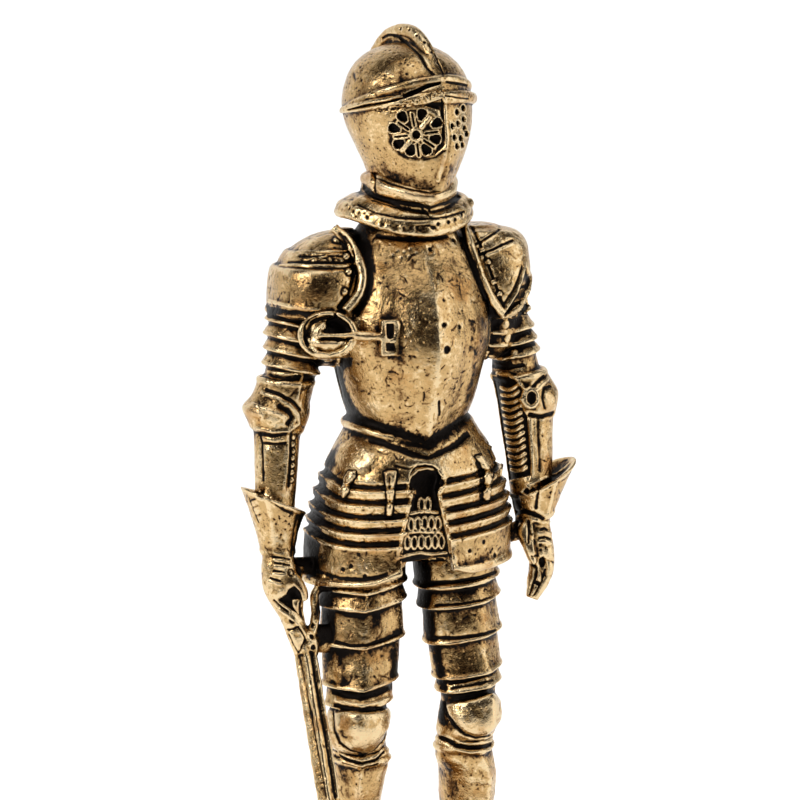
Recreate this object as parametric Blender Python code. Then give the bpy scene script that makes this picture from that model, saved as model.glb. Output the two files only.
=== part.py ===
"""A small cast knight in full plate armour, his right hand on his sword, on a low stepped plinth.

The figure's own frame is in millimetres: z above the soles, -y to the front, +x to his left.
The whole stands on z = 0, with the plinth's centre at the origin.
"""
import math

import bmesh
import bpy
import numpy as np

# Driving dimensions, in millimetres unless a name says otherwise
MM = 0.001
PLINTH_WIDTH = 60.0
PLINTH_DEPTH = 44.0
PLINTH_HEIGHT = 7.5
PLINTH_STEP = 3.6
PLINTH_LEDGE = 2.6
JOINT_GAP = 0.3
FIGURE_BACK = 5.0
HEAD_YAW = 15.0
LEG_YAW = 20.0
THIGH_YAW = {-1: -13.0, 1: 20.0}
THIGH_ROLL = {-1: 4.0, 1: 8.0}
BAND_DROP = {-1: 0.9, 1: 0.0}
BAND_EDGES = {-1: (60.9, 58.1, 52.1, 45.4, 42.1), 1: (60.6, 57.4, 51.7, 45.9, 43.6)}
KNEE_RISE = {-1: 0.2, 1: 1.0}
HIP_ROLL = 5.0
HIP_SHIFT = 0.15
SPLAY = {-1: 0.15, 1: 1.0}
KNEE_LEAN = {-1: -0.6, 1: -0.9}
KNEE_LEVEL = 36.0
KEEL_WIDTH = 0.42
LIP = 0.55
GROOVE = 0.35
LAP = 0.35
FLAT_ANGLE = 1.5


def smooth_rows(rows, steps=24):
    """Fill in a profile table with a smooth curve through its rows."""
    rows = np.array(sorted(tuple(row) for row in rows), float)
    slopes = np.gradient(rows, axis=0)
    out = []
    for i in range(len(rows) - 1):
        for t in np.arange(steps) / steps:
            out.append(rows[i] * (1 + 2 * t) * (1 - t) ** 2 + slopes[i] * t * (1 - t) ** 2
                       + rows[i + 1] * t * t * (3 - 2 * t) + slopes[i + 1] * t * t * (t - 1))
    out.append(rows[-1])
    return np.array(out)


class Form:
    """A stack of oval rings: each row is z, x, y, half-width, front depth, back depth, keel."""

    def __init__(self, rows, yaw=0.0, roll=0.0, square=2.0, soft=False):
        self.rows = smooth_rows(rows)
        self.yaw = math.radians(yaw)
        self.roll = math.tan(math.radians(roll))
        self.square = square
        self.soft = soft

    def at(self, z):
        """Read the form's measures at a height."""
        return [np.interp(z, self.rows[:, 0], self.rows[:, k]) for k in range(1, 7)]

    def point(self, angle, z, out=0.0, drop=0.0):
        """A point on the surface: the angle is 0 at the front and 90 at his left, in degrees.

        A drop lowers the front of the ring, to a point or, on a soft form, in a curve.
        """
        x, y, half, front, back, keel = self.at(z)
        s, c = math.sin(math.radians(angle)), math.cos(math.radians(angle))
        power = 2.0 / self.square
        depth = front if c > 0 else back
        side = (half + out) * math.copysign(abs(s) ** power, s)
        ahead = (depth + out) * math.copysign(abs(c) ** power, c)
        if c > 0:
            ahead += keel * max(0.0, 1 - abs(s) / KEEL_WIDTH)
            z = z - drop * (c * c if self.soft else 1 - abs(s))
        px = x + side * math.cos(self.yaw) + ahead * math.sin(self.yaw)
        py = y + side * math.sin(self.yaw) - ahead * math.cos(self.yaw)
        return np.array([px, py, z + self.roll * side])

    def ring(self, count, z, out=0.0, drop=0.0):
        """One ring of points, the front one first; the height may follow the angle."""
        ring = []
        for k in range(count):
            angle = 360.0 * k / count
            ring.append(self.point(angle, z(angle) if callable(z) else z, out, drop))
        return ring


def skin(rings):
    """A closed shell through rings of equal count, fanned shut at both ends."""
    count = len(rings[0])
    points = [p for ring in rings for p in ring]
    faces = []
    for r in range(len(rings) - 1):
        for k in range(count):
            a, b = r * count + k, r * count + (k + 1) % count
            faces.append((a, b, b + count, a + count))
    for ring_at, flip in ((0, True), (len(rings) - 1, False)):
        points.append(np.mean(rings[ring_at], axis=0))
        for k in range(count):
            a, b = ring_at * count + k, ring_at * count + (k + 1) % count
            faces.append((b, a, len(points) - 1) if flip else (a, b, len(points) - 1))
    return np.array(points), faces


def loft(form, stations, count):
    """A shell from stations of height, distance out and drop, lowest first."""
    return skin([form.ring(count, *station) for station in stations])


def lames(top, edges, foot, lip=LIP, drop=0.0):
    """Stations for plates that overlap downwards: each flares to its lower edge and steps in below."""
    stations = [(top, 0.0, drop)]
    for edge in edges:
        stations.append((edge, lip, drop))
        stations.append((edge - LAP, -GROOVE, drop))
    stations.append((foot, 0.0, drop))
    return stations[::-1]


def sweep(path, widths, heights, side, sides=8, power=2.0):
    """A closed bar along a path, each section an oval: width along the side direction, height across."""
    path = [np.asarray(p, float) for p in path]
    rings = []
    for i, p in enumerate(path):
        along = path[min(i + 1, len(path) - 1)] - path[max(i - 1, 0)]
        along /= np.linalg.norm(along)
        across = np.cross(along, side)
        across /= np.linalg.norm(across)
        wide = np.cross(across, along)
        w = widths[i] if np.ndim(widths) else widths
        h = heights[i] if np.ndim(heights) else heights
        ring = []
        for k in range(sides):
            a = 2 * math.pi * (k + 0.5) / sides
            u = math.copysign(abs(math.cos(a)) ** (2 / power), math.cos(a))
            v = math.copysign(abs(math.sin(a)) ** (2 / power), math.sin(a))
            ring.append(p + wide * w * u + across * h * v)
        rings.append(ring)
    return skin(rings)


def curve(points, steps):
    """A smooth path through a few points."""
    rows = np.array([[i, *p] for i, p in enumerate(points)], float)
    dense = smooth_rows(rows)
    where = np.linspace(0, len(points) - 1, steps)
    return [np.array([np.interp(t, dense[:, 0], dense[:, k]) for k in (1, 2, 3)]) for t in where]


def surface_path(form, angles, heights, out, steps, side_step=0.0):
    """A path laid on a form, by angle and height; past 50 degrees to his left it steps in or out."""
    rows = np.array([[i, a, h] for i, (a, h) in enumerate(zip(angles, heights))], float)
    dense = smooth_rows(rows)
    path = []
    for t in np.linspace(0, len(angles) - 1, steps):
        angle = np.interp(t, dense[:, 0], dense[:, 1])
        height = np.interp(t, dense[:, 0], dense[:, 2])
        step = side_step * min(1.0, max(0.0, (angle - 50.0) / 30.0))
        path.append(form.point(angle, height, out + step))
    return path


# The figure's forms: z, x, y, half-width, front, back, keel
HELMET = Form([(121.5, -0.2, -0.6, 6.3, 8.2, 6.6, 0.4), (125.0, -0.1, -0.5, 6.3, 9.0, 6.3, 0.7),
               (127.5, 0.0, -0.5, 6.95, 10.0, 7.0, 0.8), (130.5, 0.0, -0.5, 8.3, 10.9, 8.4, 0.8),
               (133.5, -0.1, -0.5, 9.45, 11.1, 9.9, 0.7), (136.8, -0.3, -0.5, 10.1, 11.0, 10.6, 0.5),
               (140.0, -0.3, -0.5, 9.8, 10.5, 10.4, 0.3), (143.0, -0.3, -0.5, 8.5, 9.1, 9.2, 0.2),
               (145.2, -0.3, -0.5, 6.2, 6.8, 7.1, 0.1), (146.6, -0.3, -0.5, 3.2, 3.5, 3.9, 0.0),
               (147.1, -0.3, -0.5, 0.4, 0.4, 0.4, 0.0)], yaw=HEAD_YAW)
COLLAR = Form([(118.0, -0.5, 0.0, 11.0, 9.6, 10.2, 0.2), (121.4, -0.5, -0.2, 11.0, 9.7, 10.2, 0.3),
               (122.6, -0.1, -0.3, 9.9, 9.3, 9.2, 0.5), (124.6, 0.0, -0.4, 7.1, 8.6, 7.0, 0.6),
               (128.5, -0.1, -0.5, 7.0, 9.0, 7.1, 0.6)], yaw=4.0, soft=True)
TORSO = Form([(80.0, 0.0, 0.0, 10.0, 8.4, 8.2, 0.5), (87.0, 0.0, 0.0, 9.7, 8.7, 8.0, 1.2),
              (91.0, 0.0, 0.0, 10.8, 10.6, 8.5, 1.7), (96.0, 0.0, 0.0, 12.0, 12.3, 9.9, 1.9),
              (101.0, 0.0, 0.0, 13.2, 12.9, 10.8, 1.8), (108.0, 0.0, 0.0, 12.8, 11.2, 10.8, 1.4),
              (113.0, 0.0, 0.0, 11.5, 8.8, 9.8, 0.9), (116.5, 0.0, 0.0, 9.0, 7.4, 8.2, 0.5),
              (120.0, 0.0, 0.0, 6.2, 5.8, 6.4, 0.2)], square=2.15)
SKIRT = Form([(60.0, -0.1, 0.0, 16.8, 12.9, 12.4, 0.0), (64.0, -0.1, 0.0, 16.9, 12.9, 12.6, 0.0),
              (68.4, 0.1, 0.0, 16.9, 12.8, 12.5, 0.0), (73.4, 0.1, 0.0, 16.3, 12.5, 12.1, 0.0),
              (77.3, 0.1, 0.0, 15.2, 12.0, 11.4, 0.2), (81.7, 0.1, 0.0, 13.2, 11.2, 10.4, 0.4),
              (84.6, 0.0, 0.0, 11.4, 10.2, 9.5, 0.5), (87.6, 0.0, 0.0, 9.6, 8.7, 8.1, 0.6)],
             yaw=-3.0, roll=HIP_ROLL, square=2.1)

ARMPIT_ROWS = [(96.0, 13.6, 0.6, 2.0, 2.4, 2.4), (98.5, 14.0, 0.8, 4.2, 4.6, 4.6),
               (104.0, 14.4, 1.0, 5.0, 5.2, 5.2), (110.0, 13.5, 1.2, 4.5, 5.0, 5.0)]


def mirrored(rows, side):
    """The rows of a leg on one side: the knees lean a little to his right, the feet to his left."""
    out = []
    for z, x, *rest in rows:
        splay = SPLAY[side] * min(1.0, max(0.0, (KNEE_LEVEL - z) / 6.0))
        lean = KNEE_LEAN[side] * max(0.0, 1 - abs(z - KNEE_LEVEL) / 8.0)
        out.append((z, side * x + splay + lean + HIP_SHIFT, *rest))
    return out


THIGH_ROWS = [(38.4, 9.4, -3.3, 4.7, 4.3, 4.0, 0.4), (41.6, 9.4, -3.2, 5.0, 4.4, 4.2, 0.5),
              (45.5, 9.15, -2.8, 5.8, 4.6, 4.5, 0.6), (50.5, 8.8, -2.0, 6.6, 4.9, 4.9, 0.6),
              (56.5, 8.35, -1.3, 6.85, 5.7, 5.7, 0.4), (62.2, 7.95, -0.6, 6.9, 6.4, 6.4, 0.2),
              (69.0, 7.1, 0.0, 6.6, 6.2, 6.2, 0.0)]
KNEE_ROWS = [(34.1, 9.2, -2.9, 4.1, 4.2, 3.8, 0.0), (36.1, 9.35, -3.1, 4.8, 5.3, 3.9, 0.2),
             (38.7, 9.4, -3.3, 5.0, 5.9, 3.9, 0.4), (41.3, 9.4, -3.2, 4.7, 5.4, 3.9, 0.6),
             (43.2, 9.3, -3.0, 4.2, 4.5, 3.7, 0.4)]
SHIN_ROWS = [(3.5, 9.5, 1.6, 3.3, 3.6, 3.8, 0.2), (8.0, 9.5, 1.5, 2.9, 3.3, 3.4, 0.3),
             (12.0, 9.5, 1.2, 3.0, 3.4, 3.6, 0.4), (18.0, 9.3, 0.5, 3.3, 3.9, 4.3, 0.5),
             (24.0, 9.2, -0.5, 3.8, 4.2, 4.9, 0.6), (28.8, 8.95, -1.6, 4.1, 4.3, 4.9, 0.6),
             (32.6, 8.7, -2.5, 5.1, 4.3, 4.4, 0.5), (38.6, 9.3, -3.3, 4.4, 4.2, 4.0, 0.3)]
FOOT_ROWS = [(-4.6, 1.4, 4.5), (-3.2, 2.7, 7.6), (-0.5, 3.2, 9.4), (2.5, 3.5, 8.4), (6.0, 3.9, 6.6),
             (10.0, 4.4, 4.9), (13.5, 4.7, 4.0), (16.2, 4.3, 3.1), (18.0, 2.8, 2.2)]
THIGHS = {s: Form(mirrored(THIGH_ROWS, s), yaw=THIGH_YAW[s], roll=THIGH_ROLL[s]) for s in (-1, 1)}
KNEES = {s: Form(mirrored(KNEE_ROWS, s), yaw=s * LEG_YAW) for s in (-1, 1)}
SHINS = {s: Form(mirrored(SHIN_ROWS, s), yaw=s * LEG_YAW) for s in (-1, 1)}
ANKLES = {s: (mirrored(SHIN_ROWS, s)[1][1], 1.5) for s in (-1, 1)}
UPPER_ARMS = {
    -1: Form([(90.5, -20.6, 1.1, 4.1, 4.4, 4.4, 0.0), (94.5, -19.3, 1.4, 4.3, 4.6, 4.6, 0.0),
              (98.0, -19.0, 1.5, 4.1, 4.6, 4.6, 0.0), (101.5, -18.9, 1.6, 4.0, 4.7, 4.7, 0.0),
              (108.5, -17.3, 1.6, 4.2, 4.8, 4.8, 0.0)], roll=-12.0),
    1: Form([(89.0, 20.8, 1.2, 4.0, 4.3, 4.3, 0.0), (93.2, 19.5, 1.7, 4.1, 4.5, 4.5, 0.0),
             (97.7, 18.8, 1.8, 3.8, 4.5, 4.5, 0.0), (102.0, 17.7, 2.0, 3.8, 4.6, 4.6, 0.0),
             (107.5, 16.4, 2.0, 4.1, 4.8, 4.8, 0.0)], roll=10.0)}
COUTERS = {
    -1: Form([(85.6, -21.8, 0.4, 3.7, 3.9, 3.9, 0.0), (87.3, -21.8, 0.6, 4.7, 4.7, 4.6, 0.0),
              (89.3, -21.8, 0.9, 5.4, 5.1, 5.0, 0.0), (91.4, -20.8, 1.2, 4.6, 4.9, 4.8, 0.0),
              (94.4, -19.8, 1.4, 4.4, 4.7, 4.6, 0.0)], roll=-6.0),
    1: Form([(85.4, 21.4, 0.6, 3.7, 3.9, 3.9, 0.0), (87.2, 21.4, 0.9, 4.5, 4.6, 4.6, 0.0),
             (89.5, 21.2, 1.1, 5.0, 5.1, 5.0, 0.0), (91.7, 20.5, 1.5, 4.6, 4.8, 4.8, 0.0),
             (93.8, 19.6, 1.7, 4.2, 4.6, 4.6, 0.0)], roll=8.0)}
FOREARMS = {
    -1: Form([(64.6, -22.7, -2.2, 2.4, 2.6, 2.6, 0.0), (67.5, -22.6, -1.6, 2.3, 2.6, 2.6, 0.0),
              (72.0, -22.5, -1.0, 2.8, 2.9, 2.9, 0.0), (77.3, -22.3, -0.4, 3.3, 3.3, 3.3, 0.0),
              (85.3, -21.8, 0.3, 3.7, 3.8, 3.8, 0.0), (90.0, -21.5, 0.9, 4.0, 4.2, 4.2, 0.0)]),
    1: Form([(65.5, 21.5, -1.9, 2.4, 2.5, 2.5, 0.0), (69.6, 21.1, -1.4, 2.6, 2.7, 2.7, 0.0),
             (74.5, 21.1, -0.8, 3.4, 3.4, 3.4, 0.0), (80.6, 21.0, 0.0, 3.9, 3.9, 3.9, 0.0),
             (89.3, 20.8, 1.1, 4.7, 4.4, 4.4, 0.0)])}
SHOULDERS = {
    -1: Form([(102.9, -15.4, 1.5, 6.3, 7.6, 8.0, 0.0), (105.2, -15.4, 1.5, 6.7, 8.7, 9.0, 0.0),
              (108.7, -15.1, 1.5, 6.9, 9.0, 9.2, 0.0), (111.7, -14.6, 1.5, 6.9, 8.4, 8.6, 0.0),
              (114.6, -13.3, 1.5, 6.1, 7.0, 7.3, 0.0), (116.6, -11.5, 1.5, 4.4, 5.0, 5.3, 0.0),
              (117.6, -9.9, 1.5, 1.8, 1.9, 2.1, 0.0)], square=2.4),
    1: Form([(102.4, 14.3, 1.8, 5.0, 6.9, 7.4, 0.0), (104.6, 14.4, 1.6, 5.5, 8.2, 8.6, 0.0),
             (108.5, 14.4, 1.5, 6.0, 8.7, 9.0, 0.0), (112.0, 14.2, 1.5, 6.3, 8.1, 8.5, 0.0),
             (115.6, 13.5, 1.5, 6.2, 6.8, 7.3, 0.0), (117.5, 11.9, 1.5, 4.9, 5.1, 5.5, 0.0),
             (118.3, 10.4, 1.5, 2.2, 2.3, 2.5, 0.0)], square=2.4)}
CUFFS = {-1: ((-22.5, -2.0, 66.4, 2.5, 0.0), (-22.9, -1.0, 75.3, 5.0, -23.0)),
         1: ((21.5, -1.5, 69.7, 2.8, 8.0), (23.1, -0.9, 76.4, 5.3, 29.0))}
HANDS = {
    -1: [(-22.6, -2.3, 67.5, 2.3, 2.2), (-22.6, -2.8, 64.8, 2.8, 2.4), (-22.3, -3.1, 62.0, 3.0, 2.6),
         (-21.5, -3.5, 59.6, 2.7, 2.5), (-20.9, -3.7, 57.3, 2.0, 2.4), (-20.4, -4.0, 55.4, 1.8, 2.2),
         (-19.8, -4.2, 53.4, 1.7, 2.0), (-19.2, -4.5, 51.2, 1.5, 1.5)],
    1: [(21.4, -1.8, 70.0, 2.3, 2.2), (21.9, -2.1, 67.2, 2.1, 2.4), (22.3, -2.3, 64.4, 2.2, 2.3),
        (22.3, -2.5, 61.6, 2.1, 2.0), (21.5, -2.7, 59.2, 1.8, 1.5), (20.5, -2.9, 56.8, 1.0, 1.0)]}
GUARD = (-18.3, -4.6, 52.6)
BLADE_TOP = (-19.0, -4.6, 52.0)
BLADE_TIP = (-16.2, -22.5, 0.35)
BESAGEW = (-16.3, -8.6, 102.0)
BRACKET = (-7.1, -11.2, 101.6)
VIEW_RIGHT = (0.94, -0.34, 0.0)


def helmet():
    """The close helmet: bowl, visor ridges either side of the sight, and the roped comb."""
    heights = (122.5, 127.0, 130.2, 133.5, 137.0, 140.0, 142.8, 145.0, 146.4, 147.0)
    shells = [loft(HELMET, [(z, 0.0, 0.0) for z in heights], 20)]
    for peak, out, radius in ((141.6, -0.1, 0.75), (138.9, 0.2, 1.05)):
        angles = [-118, -85, -55, -25, 0, 25, 55, 85, 118]
        rise = [max(0.0, math.cos(math.radians(a * 0.78))) ** 1.2 for a in angles]
        levels = [136.3 + (peak - 136.3) * r for r in rise]
        path = surface_path(HELMET, angles, levels, out, 13, side_step=-0.75)
        swell = [0.45 + 0.55 * math.sin(math.pi * k / 12) ** 0.7 for k in range(13)]
        wide, high = [radius * w for w in swell], [0.8 * radius * w for w in swell]
        shells.append(sweep(path, wide, high, (0, 0, 1), 5))
    turn = math.radians(HEAD_YAW)
    forward = np.array([math.sin(turn), -math.cos(turn), 0.0])
    centre = np.array([-0.3, -0.5, 0.0])
    ridge = [(8.3, 141.6), (6.2, 145.2), (4.0, 147.4), (1.5, 148.6), (-1.5, 148.8), (-5.0, 147.8),
             (-8.4, 144.9), (-10.5, 140.5), (-10.6, 135.0)]
    path = curve([centre + forward * f + np.array([0, 0, z]) for f, z in ridge], 15)
    side = np.cross(forward, (0, 0, 1))
    shells.append(sweep(path, [1.05] * 13 + [0.9, 0.5], [1.1] * 13 + [0.9, 0.4], side, 6))
    web = curve([centre + forward * f * 0.9 + np.array([0, 0, z - 1.3]) for f, z in ridge], 15)
    shells.append(sweep(web, 0.5, 1.3, side, 4))
    return shells


def collar():
    """The gorget: a flange that drops to a point in front, and the rolled neck plates above it."""
    stations = [(119.8, -3.0, 2.0), (119.6, -0.4, 2.6), (120.3, 0.2, 2.8), (121.5, 0.1, 2.8),
                (123.0, 0.0, 2.6), (124.4, 0.0, 2.4), (125.2, 0.7, 2.4), (126.1, 0.7, 2.3),
                (126.6, 0.1, 2.2), (128.2, 0.0, 2.0)]
    return [loft(COLLAR, stations, 20)]


def torso():
    """The breastplate and backplate, with the rolled waist flange."""
    stations = [(82.0, 0.0, 3.0), (85.9, 0.4, 3.0), (86.3, 1.0, 3.0), (87.1, 1.0, 3.0), (87.5, 0.1, 2.8),
                (89.2, 0.0, 1.5), (91.5, 0.0, 0.0), (96.0, 0.0, 0.0), (101.0, 0.0, 0.0), (106.0, 0.0, 0.0),
                (110.5, 0.0, 0.0), (114.5, 0.0, 0.0), (119.6, 0.0, 0.0)]
    shells = [loft(TORSO, stations, 20)]
    for side in (-1, 1):
        pit = Form([(z, side * x, *rest, 0.0) for z, x, *rest in ARMPIT_ROWS])
        shells.append(loft(pit, [(z, 0.0, 0.0) for z in (96.2, 98.5, 103.0, 109.0)], 10))
    return shells


def skirt_edge(angle):
    """The height of the tassets' lower edge: it rises at the front, where the two tassets part."""
    turn = (angle + 180.0) % 360.0 - 180.0
    return 62.8 + 2.4 * max(0.0, 1 - abs(turn + 3.0) / 26.0)


def skirt():
    """The fauld: a plain hip plate, four overlapping lames and the deep tassets, hollow below."""
    edges = (77.8, 75.0, 72.3, 70.1)
    stations = [(65.8, -2.4, 0.0), (lambda a: skirt_edge(a) + 1.6, -1.6, 0.0), (skirt_edge, -1.0, 0.0),
                (skirt_edge, 0.3, 0.0), (lambda a: skirt_edge(a) + 0.7, 0.6, 0.0), (66.6, 0.1, 0.0)]
    for edge in edges[::-1]:
        stations += [(edge - 0.4, -GROOVE, 0.3), (edge, LIP, 0.3)]
    stations += [(79.6, 0.0, 0.3), (82.0, 0.0, 0.3), (84.2, 0.0, 0.6), (86.6, 0.0, 1.0)]
    return [loft(SKIRT, stations, 24)]


def keyhole():
    """The cutter for the opening in the skirt's front, which leaves the mail behind it standing."""
    outline = [(-2.6, 79.0), (-2.0, 80.4), (0.0, 81.0), (2.0, 80.4), (2.6, 79.0), (2.4, 77.2),
               (2.9, 76.2), (4.2, 58.0), (-4.2, 58.0), (-2.9, 76.2), (-2.4, 77.2)]
    shift = -1.0
    front = [np.array([x + shift, -22.0, z]) for x, z in outline]
    back = [np.array([x + shift, -(SKIRT.at(z)[3] - 1.7), z]) for x, z in outline]
    return skin([back, front])


def leg(side):
    """One leg: cuisse plates, knee cap, greave and sabaton."""
    low = KNEE_ROWS[0][0]
    bands = lames(67.5, BAND_EDGES[side], low + 4.0, drop=BAND_DROP[side])
    shells = [loft(THIGHS[side], bands, 12)]
    rise = KNEE_RISE[side]
    knee = [(low + rise + up, out, drop) for up, out, drop in (
        (0.0, -0.6, 0.0), (1.0, 0.0, 0.6), (2.4, 0.0, 0.5), (4.0, 0.0, 0.3), (5.4, 0.0, -0.2),
        (6.4, 0.0, -0.8), (6.9, -0.8, -0.8))]
    shells.append(loft(KNEES[side], knee, 12))
    shin = [(z, out, 0.0) for z, out in ((3.0, 0.0), (7.0, 0.0), (7.8, 0.5), (8.6, 0.1), (13.0, 0.0),
                                         (19.0, 0.0), (24.0, 0.0), (28.5, 0.0))]
    shin += [(low + rise + up, out, drop) for up, out, drop in (
        (-2.2, 0.0, 0.2), (-1.4, 0.5, 0.6), (-0.7, 0.0, 0.6), (3.0, 0.0, 0.0))]
    shells.append(loft(SHINS[side], shin, 12))
    shells.append(foot(side))
    return shells


def foot(side):
    """One sabaton: arched sections along the foot, flat below, the toe broad and rounded."""
    turn = math.radians(side * LEG_YAW)
    ahead = np.array([math.sin(turn), -math.cos(turn), 0.0])
    across = np.array([math.cos(turn), math.sin(turn), 0.0])
    ankle = np.array([*ANKLES[side], 0.0])
    rings = []
    for step, (reach, half, height) in enumerate(FOOT_ROWS):
        lapped = 2 < step < len(FOOT_ROWS) - 1
        for lift, back in ((0.0, 0.3), (LAP, 0.0)) if lapped else ((0.0, 0.0),):
            ring = []
            for k in range(9):
                a = math.pi * k / 8
                rise = (height + lift) * math.sin(a) ** 0.8 if 0 < k < 8 else 0.0
                ring.append(ankle + ahead * (reach - back) + across * (half + lift) * math.cos(a)
                            + np.array([0.0, 0.0, rise]))
            rings.append(ring)
    return skin(rings)


def tilted_ring(centre, half, roll, count, out=0.0, depth=1.0):
    """A round ring about a point, tipped sideways."""
    tip = math.tan(math.radians(roll))
    ring = []
    for k in range(count):
        a = 2 * math.pi * k / count
        side, ahead = (half + out) * math.sin(a), (half * depth + out) * math.cos(a)
        ring.append(np.array([centre[0] + side, centre[1] - ahead, centre[2] + tip * side]))
    return ring


def cuff(side):
    """A gauntlet's flared cuff, hollow at its open top."""
    low, top = np.array(CUFFS[side][0]), np.array(CUFFS[side][1])
    rings = []
    for t, out in ((-0.08, -0.3), (0.0, 0.0), (0.5, 0.0), (1.0, 0.1), (1.0, -0.7), (0.72, -1.4)):
        x, y, z, half, roll = low + (top - low) * t
        rings.append(tilted_ring((x, y, z), half, roll, 12, out))
    return skin(rings)


def hand(side):
    """A gauntlet's hand: oval sections from the wrist to the finger tips."""
    rows = np.array(HANDS[side])
    path, widths, depths = rows[:, :3], rows[:, 3], rows[:, 4]
    shells = [sweep(path, list(widths), list(depths), VIEW_RIGHT, 10, 2.4)]
    if side > 0:
        thumb = curve([(20.2, -2.6, 69.4), (18.9, -3.2, 67.9), (19.7, -4.0, 65.0), (20.3, -4.2, 62.8)], 6)
        shells.append(sweep(thumb, [1.1, 1.2, 1.1, 1.0, 0.9, 0.6], 1.1, VIEW_RIGHT, 6))
    else:
        thumb = curve([(-21.6, -4.3, 63.8), (-20.1, -5.4, 61.8), (-19.3, -5.7, 59.6)], 5)
        shells.append(sweep(thumb, [1.2, 1.2, 1.1, 1.0, 0.7], 1.1, VIEW_RIGHT, 6))
        grip = curve([(-18.7, -3.2, 64.8), (-19.2, -3.9, 60.5), (-19.2, -4.5, 56.0), (-19.0, -4.6, 52.4)], 7)
        shells.append(sweep(grip, [1.7, 1.4, 1.0, 0.9, 0.9, 1.0, 1.1], 1.0, VIEW_RIGHT, 8))
    return shells


def arm(side):
    """One arm: lames and rerebrace, elbow cap, forearm, cuff and hand."""
    edges = {-1: (102.6, 100.3, 98.0, 95.6), 1: (103.0, 100.4, 98.4, 96.4)}[side]
    low = UPPER_ARMS[side].rows[0, 0]
    shells = [loft(UPPER_ARMS[side], lames(111.0, edges, low, lip=0.5), 12)]
    rows = COUTERS[side].rows[:, 0]
    elbow = [(z, 0.0, 0.0) for z in np.linspace(rows[0], rows[-1], 6)]
    shells.append(loft(COUTERS[side], elbow, 12))
    rows = FOREARMS[side].rows[:, 0]
    shells.append(loft(FOREARMS[side], [(z, 0.0, 0.0) for z in np.linspace(rows[0], rows[-1], 5)], 12))
    shells.append(cuff(side))
    shells += hand(side)
    return shells


def pauldron_edge(side, low):
    """The height of a pauldron's lower edge: the left one rises towards his side, like a shield's."""
    rise = {-1: 0.0, 1: 6.4}[side]
    return lambda angle: low + rise * max(0.0, side * math.sin(math.radians(angle))) ** 1.4


def shoulder(side):
    """A pauldron: two lames and the broad main plate, with a roll along its inner edge."""
    steps = {-1: (114.4, 112.0), 1: (113.6, 111.6)}[side]
    low = SHOULDERS[side].rows[0, 0]
    edge = pauldron_edge(side, low)
    middle = {-1: 108.4, 1: 110.4}[side]
    stations = [(edge, -1.2, 0.0), (lambda a: edge(a) + 0.2, 0.3, 0.0), (lambda a: edge(a) + 0.9, 0.4, 0.0),
                (lambda a: 0.6 * edge(a) + 0.4 * middle, 0.1, 0.0), (middle, 0.1, 0.0),
                (steps[1], 0.1, 0.0), (steps[1] + 0.15, -0.5, 0.0), (steps[0], -0.4, 0.0),
                (steps[0] + 0.15, -0.9, 0.0), (116.4, -0.8, 0.0), (117.8, -0.6, 0.0)]
    shells = [loft(SHOULDERS[side], stations, 14)]
    roll = {-1: [(-12.5, -2.4, 118.0), (-10.6, -5.0, 115.7), (-9.5, -6.9, 111.9), (-10.0, -7.7, 108.6),
                 (-12.6, -8.0, 105.6)],
            1: [(8.2, -4.2, 118.3), (9.0, -6.4, 115.0), (10.5, -7.6, 110.2), (12.1, -7.5, 106.6),
                (14.1, -6.4, 103.4)]}[side]
    shells.append(sweep(curve(roll, 9), {-1: 0.95, 1: 0.7}[side], 0.8, (0.3, -1.0, 0.2), 6))
    return shells


def sword():
    """The sword: blade down to the ground ahead of his right toes, guard, front quillon and casting web."""
    top, tip = np.array(BLADE_TOP), np.array(BLADE_TIP)
    path = [top + (tip - top) * t for t in (0.0, 0.5, 0.93, 1.0)]
    shells = [sweep(path, [1.9, 1.9, 1.4, 0.7], [0.9, 0.85, 0.75, 0.5], VIEW_RIGHT, 6)]
    guard = [np.array(GUARD) + np.array(p) for p in ((-0.9, 0.0, 1.9), (0.0, 0.0, 0.0), (0.7, -0.1, -2.3))]
    shells.append(sweep(guard, [1.0, 1.7, 0.9], [1.2, 1.6, 1.0], VIEW_RIGHT, 8))
    hook = curve([(-17.8, -4.6, 53.6), (-17.0, -4.3, 57.0), (-17.1, -4.0, 59.7), (-16.2, -3.6, 60.9),
                  (-14.2, -2.8, 60.9)], 8)
    shells.append(sweep(hook, 0.75, 0.8, (0.2, -1.0, 0.1), 6))
    web = [(-18.2, -4.3, 53.2), (-14.0, -3.0, 52.6)]
    shells.append(sweep(web, 1.0, 2.4, (0.0, 1.0, 0.0), 6))
    return shells


def lance_rest():
    """The round guard plate before his right armpit, its arm and the bracket on the breastplate."""
    centre, end = np.array(BESAGEW), np.array(BRACKET)
    normal = np.array([-0.30, -0.94, 0.12])
    normal /= np.linalg.norm(normal)
    high = np.array([0.0, 0.0, 1.0])
    wide = np.cross(normal, high)
    wide /= np.linalg.norm(wide)
    rings = []
    dish = ((3.6, -2.2), (4.5, -0.7), (4.7, 0.2), (4.2, 0.7), (3.7, 0.3), (3.2, -0.2), (1.6, 0.5))
    for radius, ahead in dish:
        ring = []
        for k in range(16):
            a = 2 * math.pi * k / 16
            ring.append(centre + normal * ahead + radius * (wide * math.cos(a) + high * 0.82 * math.sin(a)))
        rings.append(ring)
    shells = [skin(rings)]
    bar = [centre + (-1.5, -0.6, 0.3), centre + (3.7, -1.6, 0.0), end + (0.0, -0.6, 0.1)]
    shells.append(sweep(bar, [0.7, 0.6, 0.6], 0.7, high, 6))
    plate = [end + (0.0, 0.9, 0.0), end + (0.0, -0.8, 0.0)]
    shells.append(sweep(plate, 1.5, 2.9, (1.0, -0.3, 0.0), 4, 12.0))
    return shells


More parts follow.
